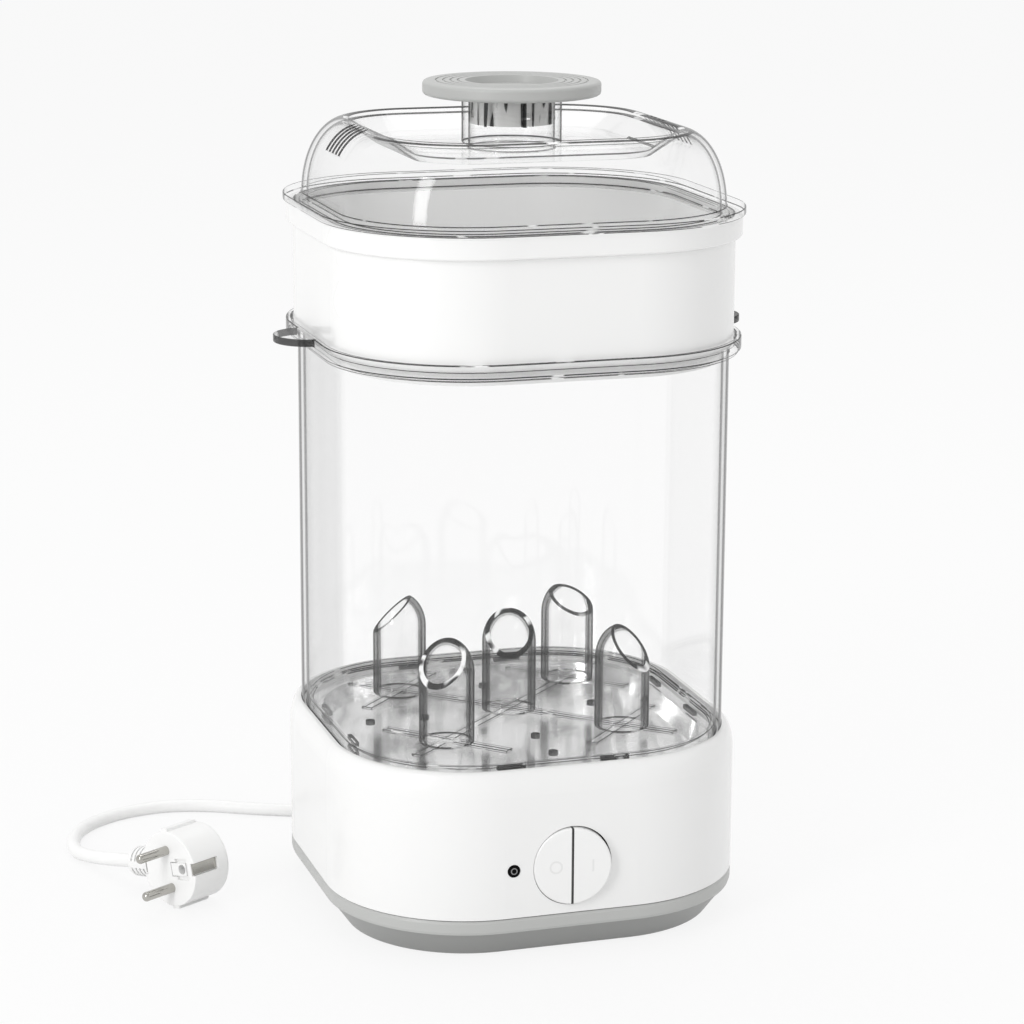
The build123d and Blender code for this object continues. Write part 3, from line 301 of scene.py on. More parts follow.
def moulded_plastic(name, shade, rough, coat, grain_depth):
    """Injection moulded plastic: a very even colour, a fine grain and a slightly uneven gloss."""
    finish = Finish(name)
    cloud = finish.noise(scale=9.0, detail=3.0)
    return finish.close(
        finish.surface(
            Base_Color=finish.blend(cloud, scaled(shade, 0.985), shade),
            Roughness=rough - 0.04 + cloud * 0.08,
            Normal=finish.bump(finish.noise(PLASTIC_GRAIN), grain_depth),
            Coat_Weight=coat,
            Coat_Roughness=COAT_ROUGHNESS,
            IOR=PLASTIC_IOR,
        )
    )


def plastic_with_painted_light_below(name, shade, painted_lower_tone, height, smoother):
    """Grey plastic painted another tone below a height in metres, with a face there smoother by the given
    amount. On the handle's skirt the painted paler tone stands for the reflection of the clear neck, and on
    the pan's skirt the painted darker tone stands for shade.
    """
    finish = Finish(name)
    skirt = finish.math("LESS_THAN", finish.along(2), height)
    return finish.close(
        finish.surface(
            Base_Color=finish.blend(skirt, shade, painted_lower_tone),
            Roughness=0.42 - skirt * smoother,
            Normal=finish.bump(finish.noise(PLASTIC_GRAIN), 0.00002),
            Coat_Weight=0.05,
            IOR=PLASTIC_IOR,
        )
    )


def marked_button(name, shade):
    """The rocker's plastic, with painted shade, nearly black, along its groove, and a faint ring and bar
    marked on its two halves.
    """
    finish = Finish(name)
    across, up = finish.along(0), finish.along(2)
    # Painted shade: the groove between the two halves is painted nearly black
    groove = finish.near(across, GROOVE_SHADE_X * MM, GROOVE_SHADE_REACH * MM)
    ring = finish.ring(RING_X, SWITCH_Z, RING_RADIUS, MARK_REACH)
    bar = finish.near(across, BAR_X * MM, MARK_REACH * MM)
    bar = bar * finish.near(up, SWITCH_Z * MM, BAR_REACH * MM)
    return finish.close(
        finish.surface(
            Base_Color=finish.blend(groove * 0.9 + (ring + bar) * 0.1, shade, (0.03, 0.03, 0.03)),
            Roughness=0.28,
            Normal=finish.bump(ring + bar, 0.0001, 0.5),
            Coat_Weight=0.25,
            Coat_Roughness=COAT_ROUGHNESS,
            IOR=PLASTIC_IOR,
        )
    )


def dark_lens(name):
    """The unlit lamp's lens, nearly black, with a faint pale ring painted on it as a painted highlight."""
    finish = Finish(name)
    # Painted highlight: a pale grey ring on the black lens
    ring = finish.ring(LAMP_X, SWITCH_Z, LAMP_HIGHLIGHT_RADIUS, LAMP_HIGHLIGHT_REACH)
    tone = finish.blend(ring * 0.5, (0.004, 0.004, 0.004), (0.5, 0.5, 0.5))
    return finish.close(finish.surface(Base_Color=tone, Roughness=0.12, IOR=1.1))


def clear_plastic(name, haze, dark, stops, painted_streaks=0.0):
    """Clear polished plastic. It lets the view through, and is painted darker by stops as it turns edge on,
    a painted shade for the dark it refracts at its edges.

    The last argument is the scale of upright dark lines painted on the thick wall round the handle's skirt,
    a painted shade for the dark that wall refracts, if any.
    """
    finish = Finish(name)
    facing = finish.add("ShaderNodeLayerWeight", inputs={"Blend": 0.5}, output="Facing")
    gloss = finish.add("ShaderNodeBsdfGlossy", inputs={"Color": WHITE, "Roughness": 0.05})
    clear = finish.mix(facing**5 * 0.3 + 0.025, finish.film(haze), gloss)
    # Painted refraction: a dark surface mixed in as the plastic turns edge on
    painted_refraction = finish.surface(Base_Color=(dark, dark, dark * 1.02), Roughness=0.12, IOR=1.15)
    cover = finish.ramp(facing, stops)
    if painted_streaks:
        # Painted shade: upright dark lines of the same painted dark on the neck
        drawn = finish.noise(scale=painted_streaks, detail=1.0, stretch=(1, 1, 0.08))
        above_foot = finish.math("GREATER_THAN", finish.along(2), SKIRT_FOOT * MM)
        cover = cover + finish.ramp(drawn, PAINTED_STREAK_STOPS) * above_foot
    return finish.close(finish.mix(cover, clear, painted_refraction))


def cut_edge(name, cover, glints):
    """The polished edge of clear plastic, painted nearly black with painted bright glints, which stand for
    the light and dark that it refracts.
    """
    finish = Finish(name)
    tone = finish.ramp(finish.noise(scale=60.0, detail=1.0), glints)
    painted_refraction = finish.surface(Base_Color=tone, Roughness=0.1, IOR=1.2)
    return finish.close(finish.mix(cover, finish.film(0.92), painted_refraction))


def polished_dish(name, shade):
    """Polished steel with a painted reflection of a room: light and dark stripes in its colour, which run
    away from the camera.
    """
    finish = Finish(name)
    inputs = {"Vector": finish.spot(), "Rotation": (0, 0, BAND_TURN), "Scale": (1.0, BAND_STRETCH, 1.0)}
    where = finish.add("ShaderNodeMapping", {"vector_type": "TEXTURE"}, inputs)
    painted_reflection_bands = finish.add("ShaderNodeTexNoise", inputs={"Vector": where, "Scale": 38.0, "Detail": 3.0})
    drawn = finish.noise(scale=700.0, detail=3.0, stretch=(1, 0.03, 1))
    mask = finish.ramp(painted_reflection_bands, PAINTED_REFLECTION_STOPS)
    return finish.close(
        finish.surface(
            # Painted reflection: the stripes darken and lighten the steel's colour
            Base_Color=finish.blend(mask, scaled(shade, 0.42), scaled(shade, 1.1)),
            Metallic=1.0,
            Roughness=0.12 + drawn * 0.08,
            Normal=finish.bump(drawn, 0.000003),
        )
    )


def brushed_metal(name, shade, rough, lines=(1, 1, 1), scale=900.0):
    """Metal with fine drawn lines along the axis whose stretch is least."""
    finish = Finish(name)
    drawn = finish.noise(scale=scale, detail=3.0, stretch=lines)
    cloud = finish.noise(scale=26.0, detail=2.0)
    tone = finish.blend(drawn, scaled(shade, 0.86), shade)
    return finish.close(
        finish.surface(
            Base_Color=tone,
            Metallic=1.0,
            Roughness=rough - 0.06 + drawn * 0.08 + cloud * 0.04,
            Normal=finish.bump(drawn, 0.000004),
        )
    )


def soft_rubber(name, shade, rough):
    """Matte rubber or soft vinyl with a fine powdery grain."""
    finish = Finish(name)
    grain = finish.noise(scale=1500.0, detail=3.0)
    cloud = finish.noise(scale=40.0)
    tone = finish.blend(cloud, scaled(shade, 0.95), shade)
    return finish.close(
        finish.surface(
            Base_Color=tone,
            Roughness=rough - 0.05 + grain * 0.1,
            Normal=finish.bump(grain, 0.00002),
            Sheen_Weight=0.05,
        )
    )


def studio_floor(name, shade, glow):
    """Pale floor: it keeps soft shadows, and shows near white to the camera and in reflections."""
    finish = Finish(name)
    tone = finish.blend(finish.noise(scale=1.5), scaled(shade, 0.99), shade)
    matte = finish.add("ShaderNodeBsdfDiffuse", inputs={"Color": tone})
    light = finish.add("ShaderNodeEmission", inputs={"Color": WHITE, "Strength": FLOOR_LIGHT})
    return finish.close(finish.mix(finish.seen() * glow, matte, light))


def finish_of(key):
    """The material of a finish, made on first use from the colours in the panel.

    Its name differs from the record's slots, because the CAD nodes bring plain materials of those names.
    """
    name = f"{key}_finish"
    if name in bpy.data.materials:
        return bpy.data.materials[name]
    looks = bpy.context.scene.sterilizer_colours
    # Painted light: the handle's skirt is painted paler as a painted reflection, and the pan is painted
    # lighter on its band and darker on its skirt as painted light and shade
    disc_tones = (looks.grey, (0.68, 0.68, 0.67))
    pan_tones = (scaled(looks.grey, 1.07), scaled(looks.grey, 0.67))
    makers = {
        "white_plastic": (moulded_plastic, looks.white, 0.26, 0.25, 0.000006),
        "black_plastic": (moulded_plastic, (0.03, 0.03, 0.031), 0.45, 0.0, 0.00003),
        "plug_plastic": (moulded_plastic, looks.cord, 0.36, 0.1, 0.000012),
        "nylon": (moulded_plastic, (0.8, 0.78, 0.72), 0.45, 0.0, 0.00002),
        "handle_plastic": (plastic_with_painted_light_below, *disc_tones, DISC_FOOT * MM, 0.2),
        "pan_plastic": (plastic_with_painted_light_below, *pan_tones, PAN_BAND * MM, 0.0),
        "button_plastic": (marked_button, looks.white),
        "lamp_lens": (dark_lens,),
        "clear_wall": (clear_plastic, 0.997, 0.08, WALL_STOPS),
        "clear_dome": (clear_plastic, 0.998, 0.08, DOME_STOPS),
        "clear_tray": (clear_plastic, 0.99, 0.1, TRAY_STOPS),
        "clear_tube": (clear_plastic, 0.99, 0.02, TUBE_STOPS),
        "clear_neck": (clear_plastic, 0.99, 0.02, NECK_STOPS, 300.0),
        "clear_flat": (clear_plastic, 0.998, 0.1, FLAT_STOPS),
        "clear_edge": (cut_edge, 0.9, PAINTED_EDGE_GLINTS),
        "prong_edge": (cut_edge, 0.95, PAINTED_PRONG_GLINTS),
        "black_rubber": (soft_rubber, (0.035, 0.035, 0.036), 0.75),
        "silicone": (soft_rubber, (0.7, 0.7, 0.68), 0.5),
        "cord_jacket": (soft_rubber, looks.cord, 0.42),
        "dish_steel": (polished_dish, looks.steel),
        "stainless_steel": (brushed_metal, looks.steel, 0.22, (1, 0.03, 1)),
        "plated_steel": (brushed_metal, (0.55, 0.56, 0.57), 0.35),
        "cast_aluminium": (brushed_metal, (0.62, 0.62, 0.63), 0.5, (1, 1, 1), 1400.0),
        "brass": (brushed_metal, (0.7, 0.52, 0.24), 0.3),
        "nickel": (brushed_metal, (0.5, 0.49, 0.46), 0.14, (1, 1, 1), 2000.0),
    }
    maker, *values = makers[key]
    return maker(name, *values)


def dress(key, *names):
    """Give CAD nodes a finish."""
    for name in names:
        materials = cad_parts[name].data.materials
        materials.clear()
        materials.append(finish_of(key))


class SterilizerColours(bpy.types.PropertyGroup):
    """Colours that a user would change."""

    white: FloatVectorProperty(
        name="White plastic",
        description="Base, button and basket",
        subtype="COLOR",
        default=(0.87, 0.87, 0.865),
    )
    grey: FloatVectorProperty(
        name="Grey plastic",
        description="Bottom pan and disc handle",
        subtype="COLOR",
        default=(0.45, 0.455, 0.445),
    )
    steel: FloatVectorProperty(
        name="Steel",
        description="Water dish",
        subtype="COLOR",
        default=(0.82, 0.82, 0.82),
    )
    cord: FloatVectorProperty(
        name="Cord",
        description="Cord and plug",
        subtype="COLOR",
        default=(0.88, 0.88, 0.875),
    )


class SterilizerStudio(bpy.types.PropertyGroup):
    """The camera's place and the light."""

    turn: FloatProperty(
        name="Turn",
        description="Camera's heading round the object",
        subtype="ANGLE",
        default=math.radians(-17.49),
    )
    tilt: FloatProperty(
        name="Tilt",
        description="How far the camera looks down",
        subtype="ANGLE",
        default=math.radians(13.72),
    )
    roll: FloatProperty(
        name="Roll",
        description="Camera's roll",
        subtype="ANGLE",
        default=math.radians(0.3),
    )
    reach: FloatProperty(
        name="Reach",
        description="Distance in plan from the middle",
        subtype="DISTANCE",
        unit="LENGTH",
        default=1.5118,
    )
    shift: FloatProperty(
        name="Shift",
        description="Camera's step to its right",
        subtype="DISTANCE",
        unit="LENGTH",
        default=0.00117,
    )
    height: FloatProperty(
        name="Height",
        description="Camera above the floor",
        subtype="DISTANCE",
        unit="LENGTH",
        default=0.564,
    )
    lens: FloatProperty(name="Lens", description="Focal length", unit="CAMERA", default=110.37)
    sky: FloatProperty(name="Sky", description="Strength of the even light", default=0.8, min=0.0)
    key: FloatProperty(name="Key lamp", description="Power of the key lamp in watts", default=13.5, min=0.0)


def named(name, data):
    """An object for a mesh, curve, lamp or camera, linked to the scene."""
    piece = bpy.data.objects.new(name, data)
    bpy.context.scene.collection.objects.link(piece)
    return piece


def mesh_of(bm, name, smooth=True):
    """Turn a bmesh into a named object, shaded flat, or smooth with its sharp edges kept."""
    mesh = bpy.data.meshes.new(name)
    bm.to_mesh(mesh)
    bm.free()
    for face in mesh.polygons:
        face.use_smooth = smooth
    if smooth:
        mesh.set_sharp_from_angle(angle=SHADING_ANGLE)
    return named(name, mesh)


def only(kind, geometry):
    """The verts, edges or faces in a mixed list."""
    return [part for part in geometry if isinstance(part, kind)]


def with_verts(edges):
    """The edges and their verts, as the sweeping operators want them."""
    return list(dict.fromkeys(vert for edge in edges for vert in edge.verts)) + list(edges)


def pull(bm, edges, step):
    """Extrude edges along a step in millimetres and return the far ones."""
    made = bmesh.ops.extrude_edge_only(bm, edges=edges)["geom"]
    far = set(only(bmesh.types.BMVert, made))
    bmesh.ops.translate(bm, verts=list(far), vec=Vector(step) * MM)
    return [edge for edge in only(bmesh.types.BMEdge, made) if far.issuperset(edge.verts)]


def spin(bm, geometry, centre, angle, steps, **more):
    """Spin geometry about an upright axis through centre, in millimetres and degrees."""
    return bmesh.ops.spin(
        bm,
        geom=geometry,
        cent=Vector((*centre, 0)) * MM,
        axis=(0, 0, 1),
        dvec=(0, 0, 0),
        angle=math.radians(angle),
        steps=steps,
        **more,
    )["geom_last"]


def clean(bm):
    """Merge doubles and turn the faces outwards."""
    bmesh.ops.remove_doubles(bm, verts=bm.verts[:], dist=0.002 * MM)
    bmesh.ops.recalc_face_normals(bm, faces=bm.faces[:])
    if bm.calc_volume(signed=True) < 0:
        bmesh.ops.reverse_faces(bm, faces=bm.faces[:])
    return bm


def rim_wall(profile, closed=True):
    """A wall swept once round the footprint. Profile points are (offset outwards, height) in millimetres."""
    bm = bmesh.new()
    verts = [bm.verts.new((0, -(HALF + out) * MM, height * MM)) for out, height in profile]
    pairs = list(zip(verts, verts[1:])) + ([(verts[-1], verts[0])] if closed else [])
    edges = [bm.edges.new(pair) for pair in pairs]
    edges = pull(bm, edges, (FLAT, 0, 0))
    edges = only(bmesh.types.BMEdge, spin(bm, with_verts(edges), (FLAT, -FLAT), 90, CORNER_STEPS))
    pull(bm, edges, (0, FLAT, 0))
    everything = bm.verts[:] + bm.edges[:] + bm.faces[:]
    spin(bm, everything, (0, 0), 270, 3, use_duplicate=True)
    return clean(bm)


def rim_plate(profile):
    """A wall swept round the footprint whose two open rims, first and last in the profile, are filled."""
    bm = rim_wall(profile, closed=False)
    bmesh.ops.holes_fill(bm, edges=bm.edges[:], sides=0)
    return clean(bm)


def turned(profile, steps=96, centre=(0, 0)):
    """A closed profile of (radius, height) points in millimetres, turned about an upright axis."""
    bm = bmesh.new()
    spots = [(centre[0] + radius, centre[1], height) for radius, height in profile]
    verts = [bm.verts.new([place * MM for place in spot]) for spot in spots]
    edges = [bm.edges.new(pair) for pair in zip(verts, verts[1:] + verts[:1])]
    spin(bm, with_verts(edges), centre, 360, steps, use_merge=True)
    return clean(bm)


def block(centre, size, turn=0.0):
    """A box of that size in millimetres, turned in plan by degrees."""
    bm = bmesh.new()
    bmesh.ops.create_cube(bm, size=1.0)
    bmesh.ops.scale(bm, vec=Vector(size) * MM, verts=bm.verts[:])
    bmesh.ops.rotate(bm, verts=bm.verts[:], matrix=Matrix.Rotation(math.radians(turn), 3, "Z"))
    bmesh.ops.translate(bm, verts=bm.verts[:], vec=Vector(centre) * MM)
    return bm


def rod(centre, radius, height, segments):
    """An upright cylinder in millimetres whose foot stands at centre."""
    bm = bmesh.new()
    bmesh.ops.create_cone(
        bm, cap_ends=True, segments=segments, radius1=radius * MM, radius2=radius * MM, depth=height * MM
    )
    bmesh.ops.translate(bm, verts=bm.verts[:], vec=(Vector(centre) + Vector((0, 0, height / 2))) * MM)
    return bm


def add_to(bm, other):
    """Put a copy of another bmesh into bm and free it."""
    mesh = bpy.data.meshes.new("part")
    other.to_mesh(mesh)
    other.free()
    bm.from_mesh(mesh)
    bpy.data.meshes.remove(mesh)


def carve(bm, tool, operation="DIFFERENCE", mark=0):
    """Cut tool out of bm, or join it on, by an exact Boolean. Tool's walls get a material index."""
    for face in tool.faces:
        face.material_index = mark
    objects = []
    for part in (bm, tool):
        mesh = bpy.data.meshes.new("part")
        for _ in range(MOST_FINISHES):
            mesh.materials.append(None)
        part.to_mesh(mesh)
        part.free()
        objects.append(named("part", mesh))
    body, cutter = objects
    modifier = body.modifiers.new("carve", "BOOLEAN")
    modifier.operation = operation
    modifier.solver = "EXACT"
    modifier.object = cutter
    graph = bpy.context.evaluated_depsgraph_get()
    mesh = bpy.data.meshes.new_from_object(body.evaluated_get(graph))
    made = bmesh.new()
    made.from_mesh(mesh)
    bpy.data.meshes.remove(mesh)
    for old in objects:
        bpy.data.meshes.remove(old.data)
    return clean(made)


def round_edges(bm, width, segments=3, mark=0, sharp=35.0, clamp=True, where=None):
    """Bevel edges sharper than that many degrees, all or some, and give the new faces a material index."""
    edges = [edge for edge in bm.edges if len(edge.link_faces) == 2]
    edges = [edge for edge in edges if edge.calc_face_angle() > math.radians(sharp)]
    if where:
        edges = [edge for edge in edges if where((edge.verts[0].co + edge.verts[1].co) / 2 / MM)]
    made = bmesh.ops.bevel(
        bm,
        geom=edges,
        offset=width * MM,
        offset_type="OFFSET",
        segments=segments,
        profile=0.5,
        affect="EDGES",
        clamp_overlap=clamp,
        material=-1,
    )
    for face in made["faces"]:
        face.material_index = mark
    return bm


def mark_faces(bm, mark, where):
    """Give the faces whose centre and normal pass a test a material index. Centres are in millimetres."""
    for face in bm.faces:
        if where(face.calc_center_median() / MM, face.normal):
            face.material_index = mark


def finished(bm, name, body, slot, *finishes):
    """Make the final piece: smooth, with weighted normals, its materials and its body. Its slot argument is
    not used.
    """
    piece = mesh_of(bm, name)
    piece.modifiers.new("even_normals", "WEIGHTED_NORMAL").keep_sharp = True
    for key in finishes:
        piece.data.materials.append(finish_of(key))
    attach(piece, body)
    return piece


def ellipse(centre, run, rise, start, end, steps):
    """Points of an ellipse about centre from one angle to another, in degrees."""
    angles = [math.radians(start + (end - start) * step / steps) for step in range(steps + 1)]
    return [(centre[0] + run * math.cos(angle), centre[1] + rise * math.sin(angle)) for angle in angles]


def add_lamp(name, place, width, height, power):
    """A rectangular area lamp that faces the middle of the object."""
    lamp = bpy.data.lights.new(name, "AREA")
    lamp.shape = "RECTANGLE"
    lamp.size = width
    lamp.size_y = height
    lamp.energy = power
    piece = named(name, lamp)
    piece.location = place
    piece.rotation_mode = "QUATERNION"
    piece.rotation_quaternion = (Vector(LAMP_TARGET) - Vector(place)).to_track_quat("-Z", "Y")


class STERILIZER_OT_stage(bpy.types.Operator):
    """Make the floor, the lamps, the sky and the camera"""

    bl_idname = "sterilizer.stage"
    bl_label = "Stage"

    def execute(self, context):
        studio = context.scene.sterilizer_studio
        bm = bmesh.new()
        bmesh.ops.create_grid(bm, x_segments=1, y_segments=1, size=FLOOR_REACH)
        floor = mesh_of(bm, "floor", smooth=False)
        floor.data.materials.append(studio_floor("studio_floor", FLOOR_SHADE, FLOOR_GLOW))

        sky = Finish("studio_sky", "World")
        even = sky.add("ShaderNodeBackground", inputs={"Color": WHITE, "Strength": studio.sky})
        strength = sky.ray("Camera") * SKY_CAMERA_MORE + SKY_MIRRORED
        white = sky.add("ShaderNodeBackground", inputs={"Color": WHITE, "Strength": strength})
        context.scene.world = sky.close(sky.mix(sky.seen(), even, white))
        context.scene.view_settings.view_transform = "Standard"
        context.scene.cycles.transparent_max_bounces = CLEAR_BOUNCES

        for name, (place, width, height, share) in LAMPS.items():
            add_lamp(name, place, width, height, studio.key * share)

        camera = bpy.data.cameras.new("camera")
        camera.lens = studio.lens
        camera.sensor_width = 36.0
        camera.clip_end = 50.0
        eye = named("camera", camera)
        ahead = Vector((-math.sin(studio.turn), math.cos(studio.turn), 0.0))
        right = Vector((math.cos(studio.turn), math.sin(studio.turn), 0.0))
        place = -ahead * studio.reach + right * studio.shift + Vector((0, 0, studio.height))
        eye.matrix_world = (
            Matrix.Translation(place)
            @ Matrix.Rotation(studio.turn, 4, "Z")
            @ Matrix.Rotation(math.radians(90) - studio.tilt, 4, "X")
            @ Matrix.Rotation(studio.roll, 4, "Z")
        )
        context.scene.camera = eye
        return {"FINISHED"}


class STERILIZER_OT_base(bpy.types.Operator):
    """Finish the pan, the housing, the feet and the water dish"""

    bl_idname = "sterilizer.base"
    bl_label = "Base"

    def execute(self, context):
        dress("pan_plastic", "bottom_pan")
        dress("white_plastic", "base_housing", "cord_bush")
        dress("black_rubber", "rubber_feet")
        dress("dish_steel", "heating_plate")
        dress("stainless_steel", "heating_element")
        return {"FINISHED"}


class STERILIZER_OT_inside(bpy.types.Operator):
    """Finish the heater, the wiring blocks and the fasteners inside the base"""

    bl_idname = "sterilizer.inside"
    bl_label = "Inner parts"

    def execute(self, context):
        dress("silicone", "plate_seal")
        dress("cast_aluminium", "heater_plate", "thermostat", "thermal_fuse")
        dress("plated_steel", "clamp_straps", "heater_nuts", "fuse_clip")
        dress("plated_steel", "pan_screws", "rocker_pivot_pin", "clamp_screws")
        dress("black_plastic", "switch_body", "lamp_holder")
        dress("brass", "switch_terminals")
        dress("nylon", "cord_clamp", "terminal_block")
        return {"FINISHED"}


class STERILIZER_OT_switch(bpy.types.Operator):
    """Finish the round rocker button and the lamp"""

    bl_idname = "sterilizer.switch"
    bl_label = "Switch and lamp"

    def execute(self, context):
        dress("button_plastic", "rocker_button")
        dress("lamp_lens", "lamp_lens")
        return {"FINISHED"}


# The chamber's mouth: how far its lip stands out, the lip's wall and height, and the mouth's depth
MOUTH_LIP = 5.8
LIP_WALL = 2.4
LIP_HEIGHT = 6.3
MOUTH_DEPTH = 4.0

# The step under the lip
STEP_BACK = 1.3
STEP_HEIGHT = 1.7

# The lifting lugs, whose sides from a little beyond the lip take the cut-edge finish, painted dark with
# painted glints
LUG_RADIUS = 17.0
LUG_THICKNESS = 3.6
LUG_START = HALF + MOUTH_LIP + 0.6


class STERILIZER_OT_chamber(bpy.types.Operator):
    """Make the clear chamber with its stepped mouth and its two lifting lugs"""

    bl_idname = "sterilizer.chamber"
    bl_label = "Chamber"

    def execute(self, context):
        foot, top = low("chamber").z, high("chamber").z
        mouth = top - MOUTH_DEPTH
        bead = top - LIP_HEIGHT
        bm = rim_wall(
            [
                (0, foot),
                (0, bead - STEP_HEIGHT),
                (MOUTH_LIP - STEP_BACK, bead - STEP_HEIGHT),
                (MOUTH_LIP - STEP_BACK, bead),
                (MOUTH_LIP, bead),
                (MOUTH_LIP, top),
                (MOUTH_LIP - LIP_WALL, top),
                (MOUTH_LIP - LIP_WALL, mouth),
                (-CLEAR_WALL, mouth),
                (-CLEAR_WALL, foot),
            ]
        )
        reach = high("chamber").x - LUG_RADIUS
        lug_foot = top - LUG_THICKNESS
        lugs = bmesh.new()
        for side in (-1, 1):
            add_to(lugs, rod((side * reach, 0, lug_foot), LUG_RADIUS, LUG_THICKNESS, 64))
        in_lip = MOUTH_LIP - LIP_WALL / 2
        inside = rim_plate(
            [
                (-HALF / 2, top + 1),
                (in_lip, top + 1),
                (in_lip, lug_foot - 1),
                (-HALF / 2, lug_foot - 1),
            ]
        )
        bm = carve(bm, carve(lugs, inside), "UNION")
        mark_faces(bm, 2, lambda at, normal: abs(normal.z) > 0.99)
        # The lugs' sides and the rounded edges take the cut-edge finish: painted dark with painted glints
        mark_faces(bm, 1, lambda at, normal: abs(at.x) > LUG_START and abs(normal.z) < 0.5)
        round_edges(bm, CUT_ROUND, mark=1, clamp=False)
        finishes = ("clear_wall", "clear_edge", "clear_flat")
        chamber = finished(bm, "clear_chamber", "chamber", "clear_plastic", *finishes)
        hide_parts("chamber")
        return {"FINISHED"}


# A prong: a tube with a domed end, cut on a slant whose peak stands off its axis
PRONG_RADIUS = 13.5
PRONG_WALL = 2.0
PRONG_SLOPE = 50.0
PRONG_DOME = 17.0
PRONG_PEAK = 4.3

# The rings of its mesh as shares of its height, and the height of the plain tube that they bend from
PRONG_RINGS = (0.0, 0.6, 0.7, 0.75, 0.79, 0.83, 0.87, 0.91, 0.94, 0.97, 1.0)
TUBE_HEIGHT = 100
BISECTIONS = 30

# The middle of each prong, and the way that its cut falls in degrees, which the long ribs take too
PRONG_TURN = 43.7
PRONG_SPOTS = {
    (-45, -43): -136.3,
    (45, -43): -PRONG_TURN,
    (-45, 43): 136.3,
    (45, 43): PRONG_TURN,
    (0, 0): -105.0,
}

# The tray: its outline from the footprint, its floor and upstand, and its underside's inset
RACK_OUT = -3.0
RACK_RIM = 2.0
RACK_FLOOR = 2.1
RACK_HEIGHT = 4.9
RACK_FILLET = 0.8
RACK_INSET = 6.0

# The ribs on its floor, and the rings round the prongs' feet
RIB_WIDTH = 6.0
RIB_HEIGHT = 1.3
LONG_RIB = 182.0
SHORT_RIB = 70.0
RIB_ROUND = 0.35
RING_IN = 1
RING_OUT = 1.7
RING_HEIGHT = 2.4

# Its drain holes and the slots along its rim
HOLE_REACHES = (44.0, 72.0)
HOLE_RADIUS = 2.3
SLOT_SHIFT = 26.0
SLOT_INSET = 6.5
SLOT_LENGTH = 14.0
SLOT_WIDTH = 2.2
SLOT_CUT = 9.0
RACK_ROUND = 0.3


def slant_prong(spot, turn, foot, top):
    """A tube with a domed end, cut on a slant that falls towards turn, and open at its foot."""
    fall = math.tan(math.radians(PRONG_SLOPE))
    dome = top - PRONG_DOME * math.sqrt(1 - (PRONG_PEAK / PRONG_RADIUS) ** 2)
    inside = PRONG_RADIUS - PRONG_WALL
    between = PRONG_RADIUS - PRONG_WALL / 2

    def reach(wall, height):
        """A wall's radius at a height: the whole of it under the dome, and less in the dome."""
        share = (height - dome) / (PRONG_DOME - PRONG_RADIUS + wall)
        return wall * math.sqrt(1 - min(max(share, 0.0), 1.0) ** 2)

    def cut(wall, angle):
        """The height at which the slant meets a wall at an angle, by halving."""
        under, over = foot, top
        for _ in range(BISECTIONS):
            middle = (under + over) / 2
            if middle < top - fall * (reach(wall, middle) * math.cos(angle) + PRONG_PEAK):
                under = middle
            else:
                over = middle
        return under

    outer = [(PRONG_RADIUS, share * TUBE_HEIGHT) for share in PRONG_RINGS]
    bm = turned(outer + [(inside, height) for _, height in reversed(outer)], steps=72)
    # The mouth's cut face takes the prong edge finish: painted dark with painted glints
    mark_faces(bm, 1, lambda at, normal: at.z > TUBE_HEIGHT - 0.1)
    for vert in bm.verts:
        wall = PRONG_RADIUS if vert.co.xy.length > between * MM else inside
        angle = math.atan2(vert.co.y, vert.co.x)
        height = foot + vert.co.z / MM / TUBE_HEIGHT * (cut(wall, angle) - foot)
        radius = reach(wall, height)
        vert.co = Vector((radius * math.cos(angle), radius * math.sin(angle), height)) * MM
    bm.normal_update()
    round_edges(bm, CUT_ROUND, mark=1, clamp=False)
    bmesh.ops.rotate(bm, verts=bm.verts[:], matrix=Matrix.Rotation(math.radians(turn), 3, "Z"))
    bmesh.ops.translate(bm, verts=bm.verts[:], vec=Vector((*spot, 0)) * MM)
    return bm


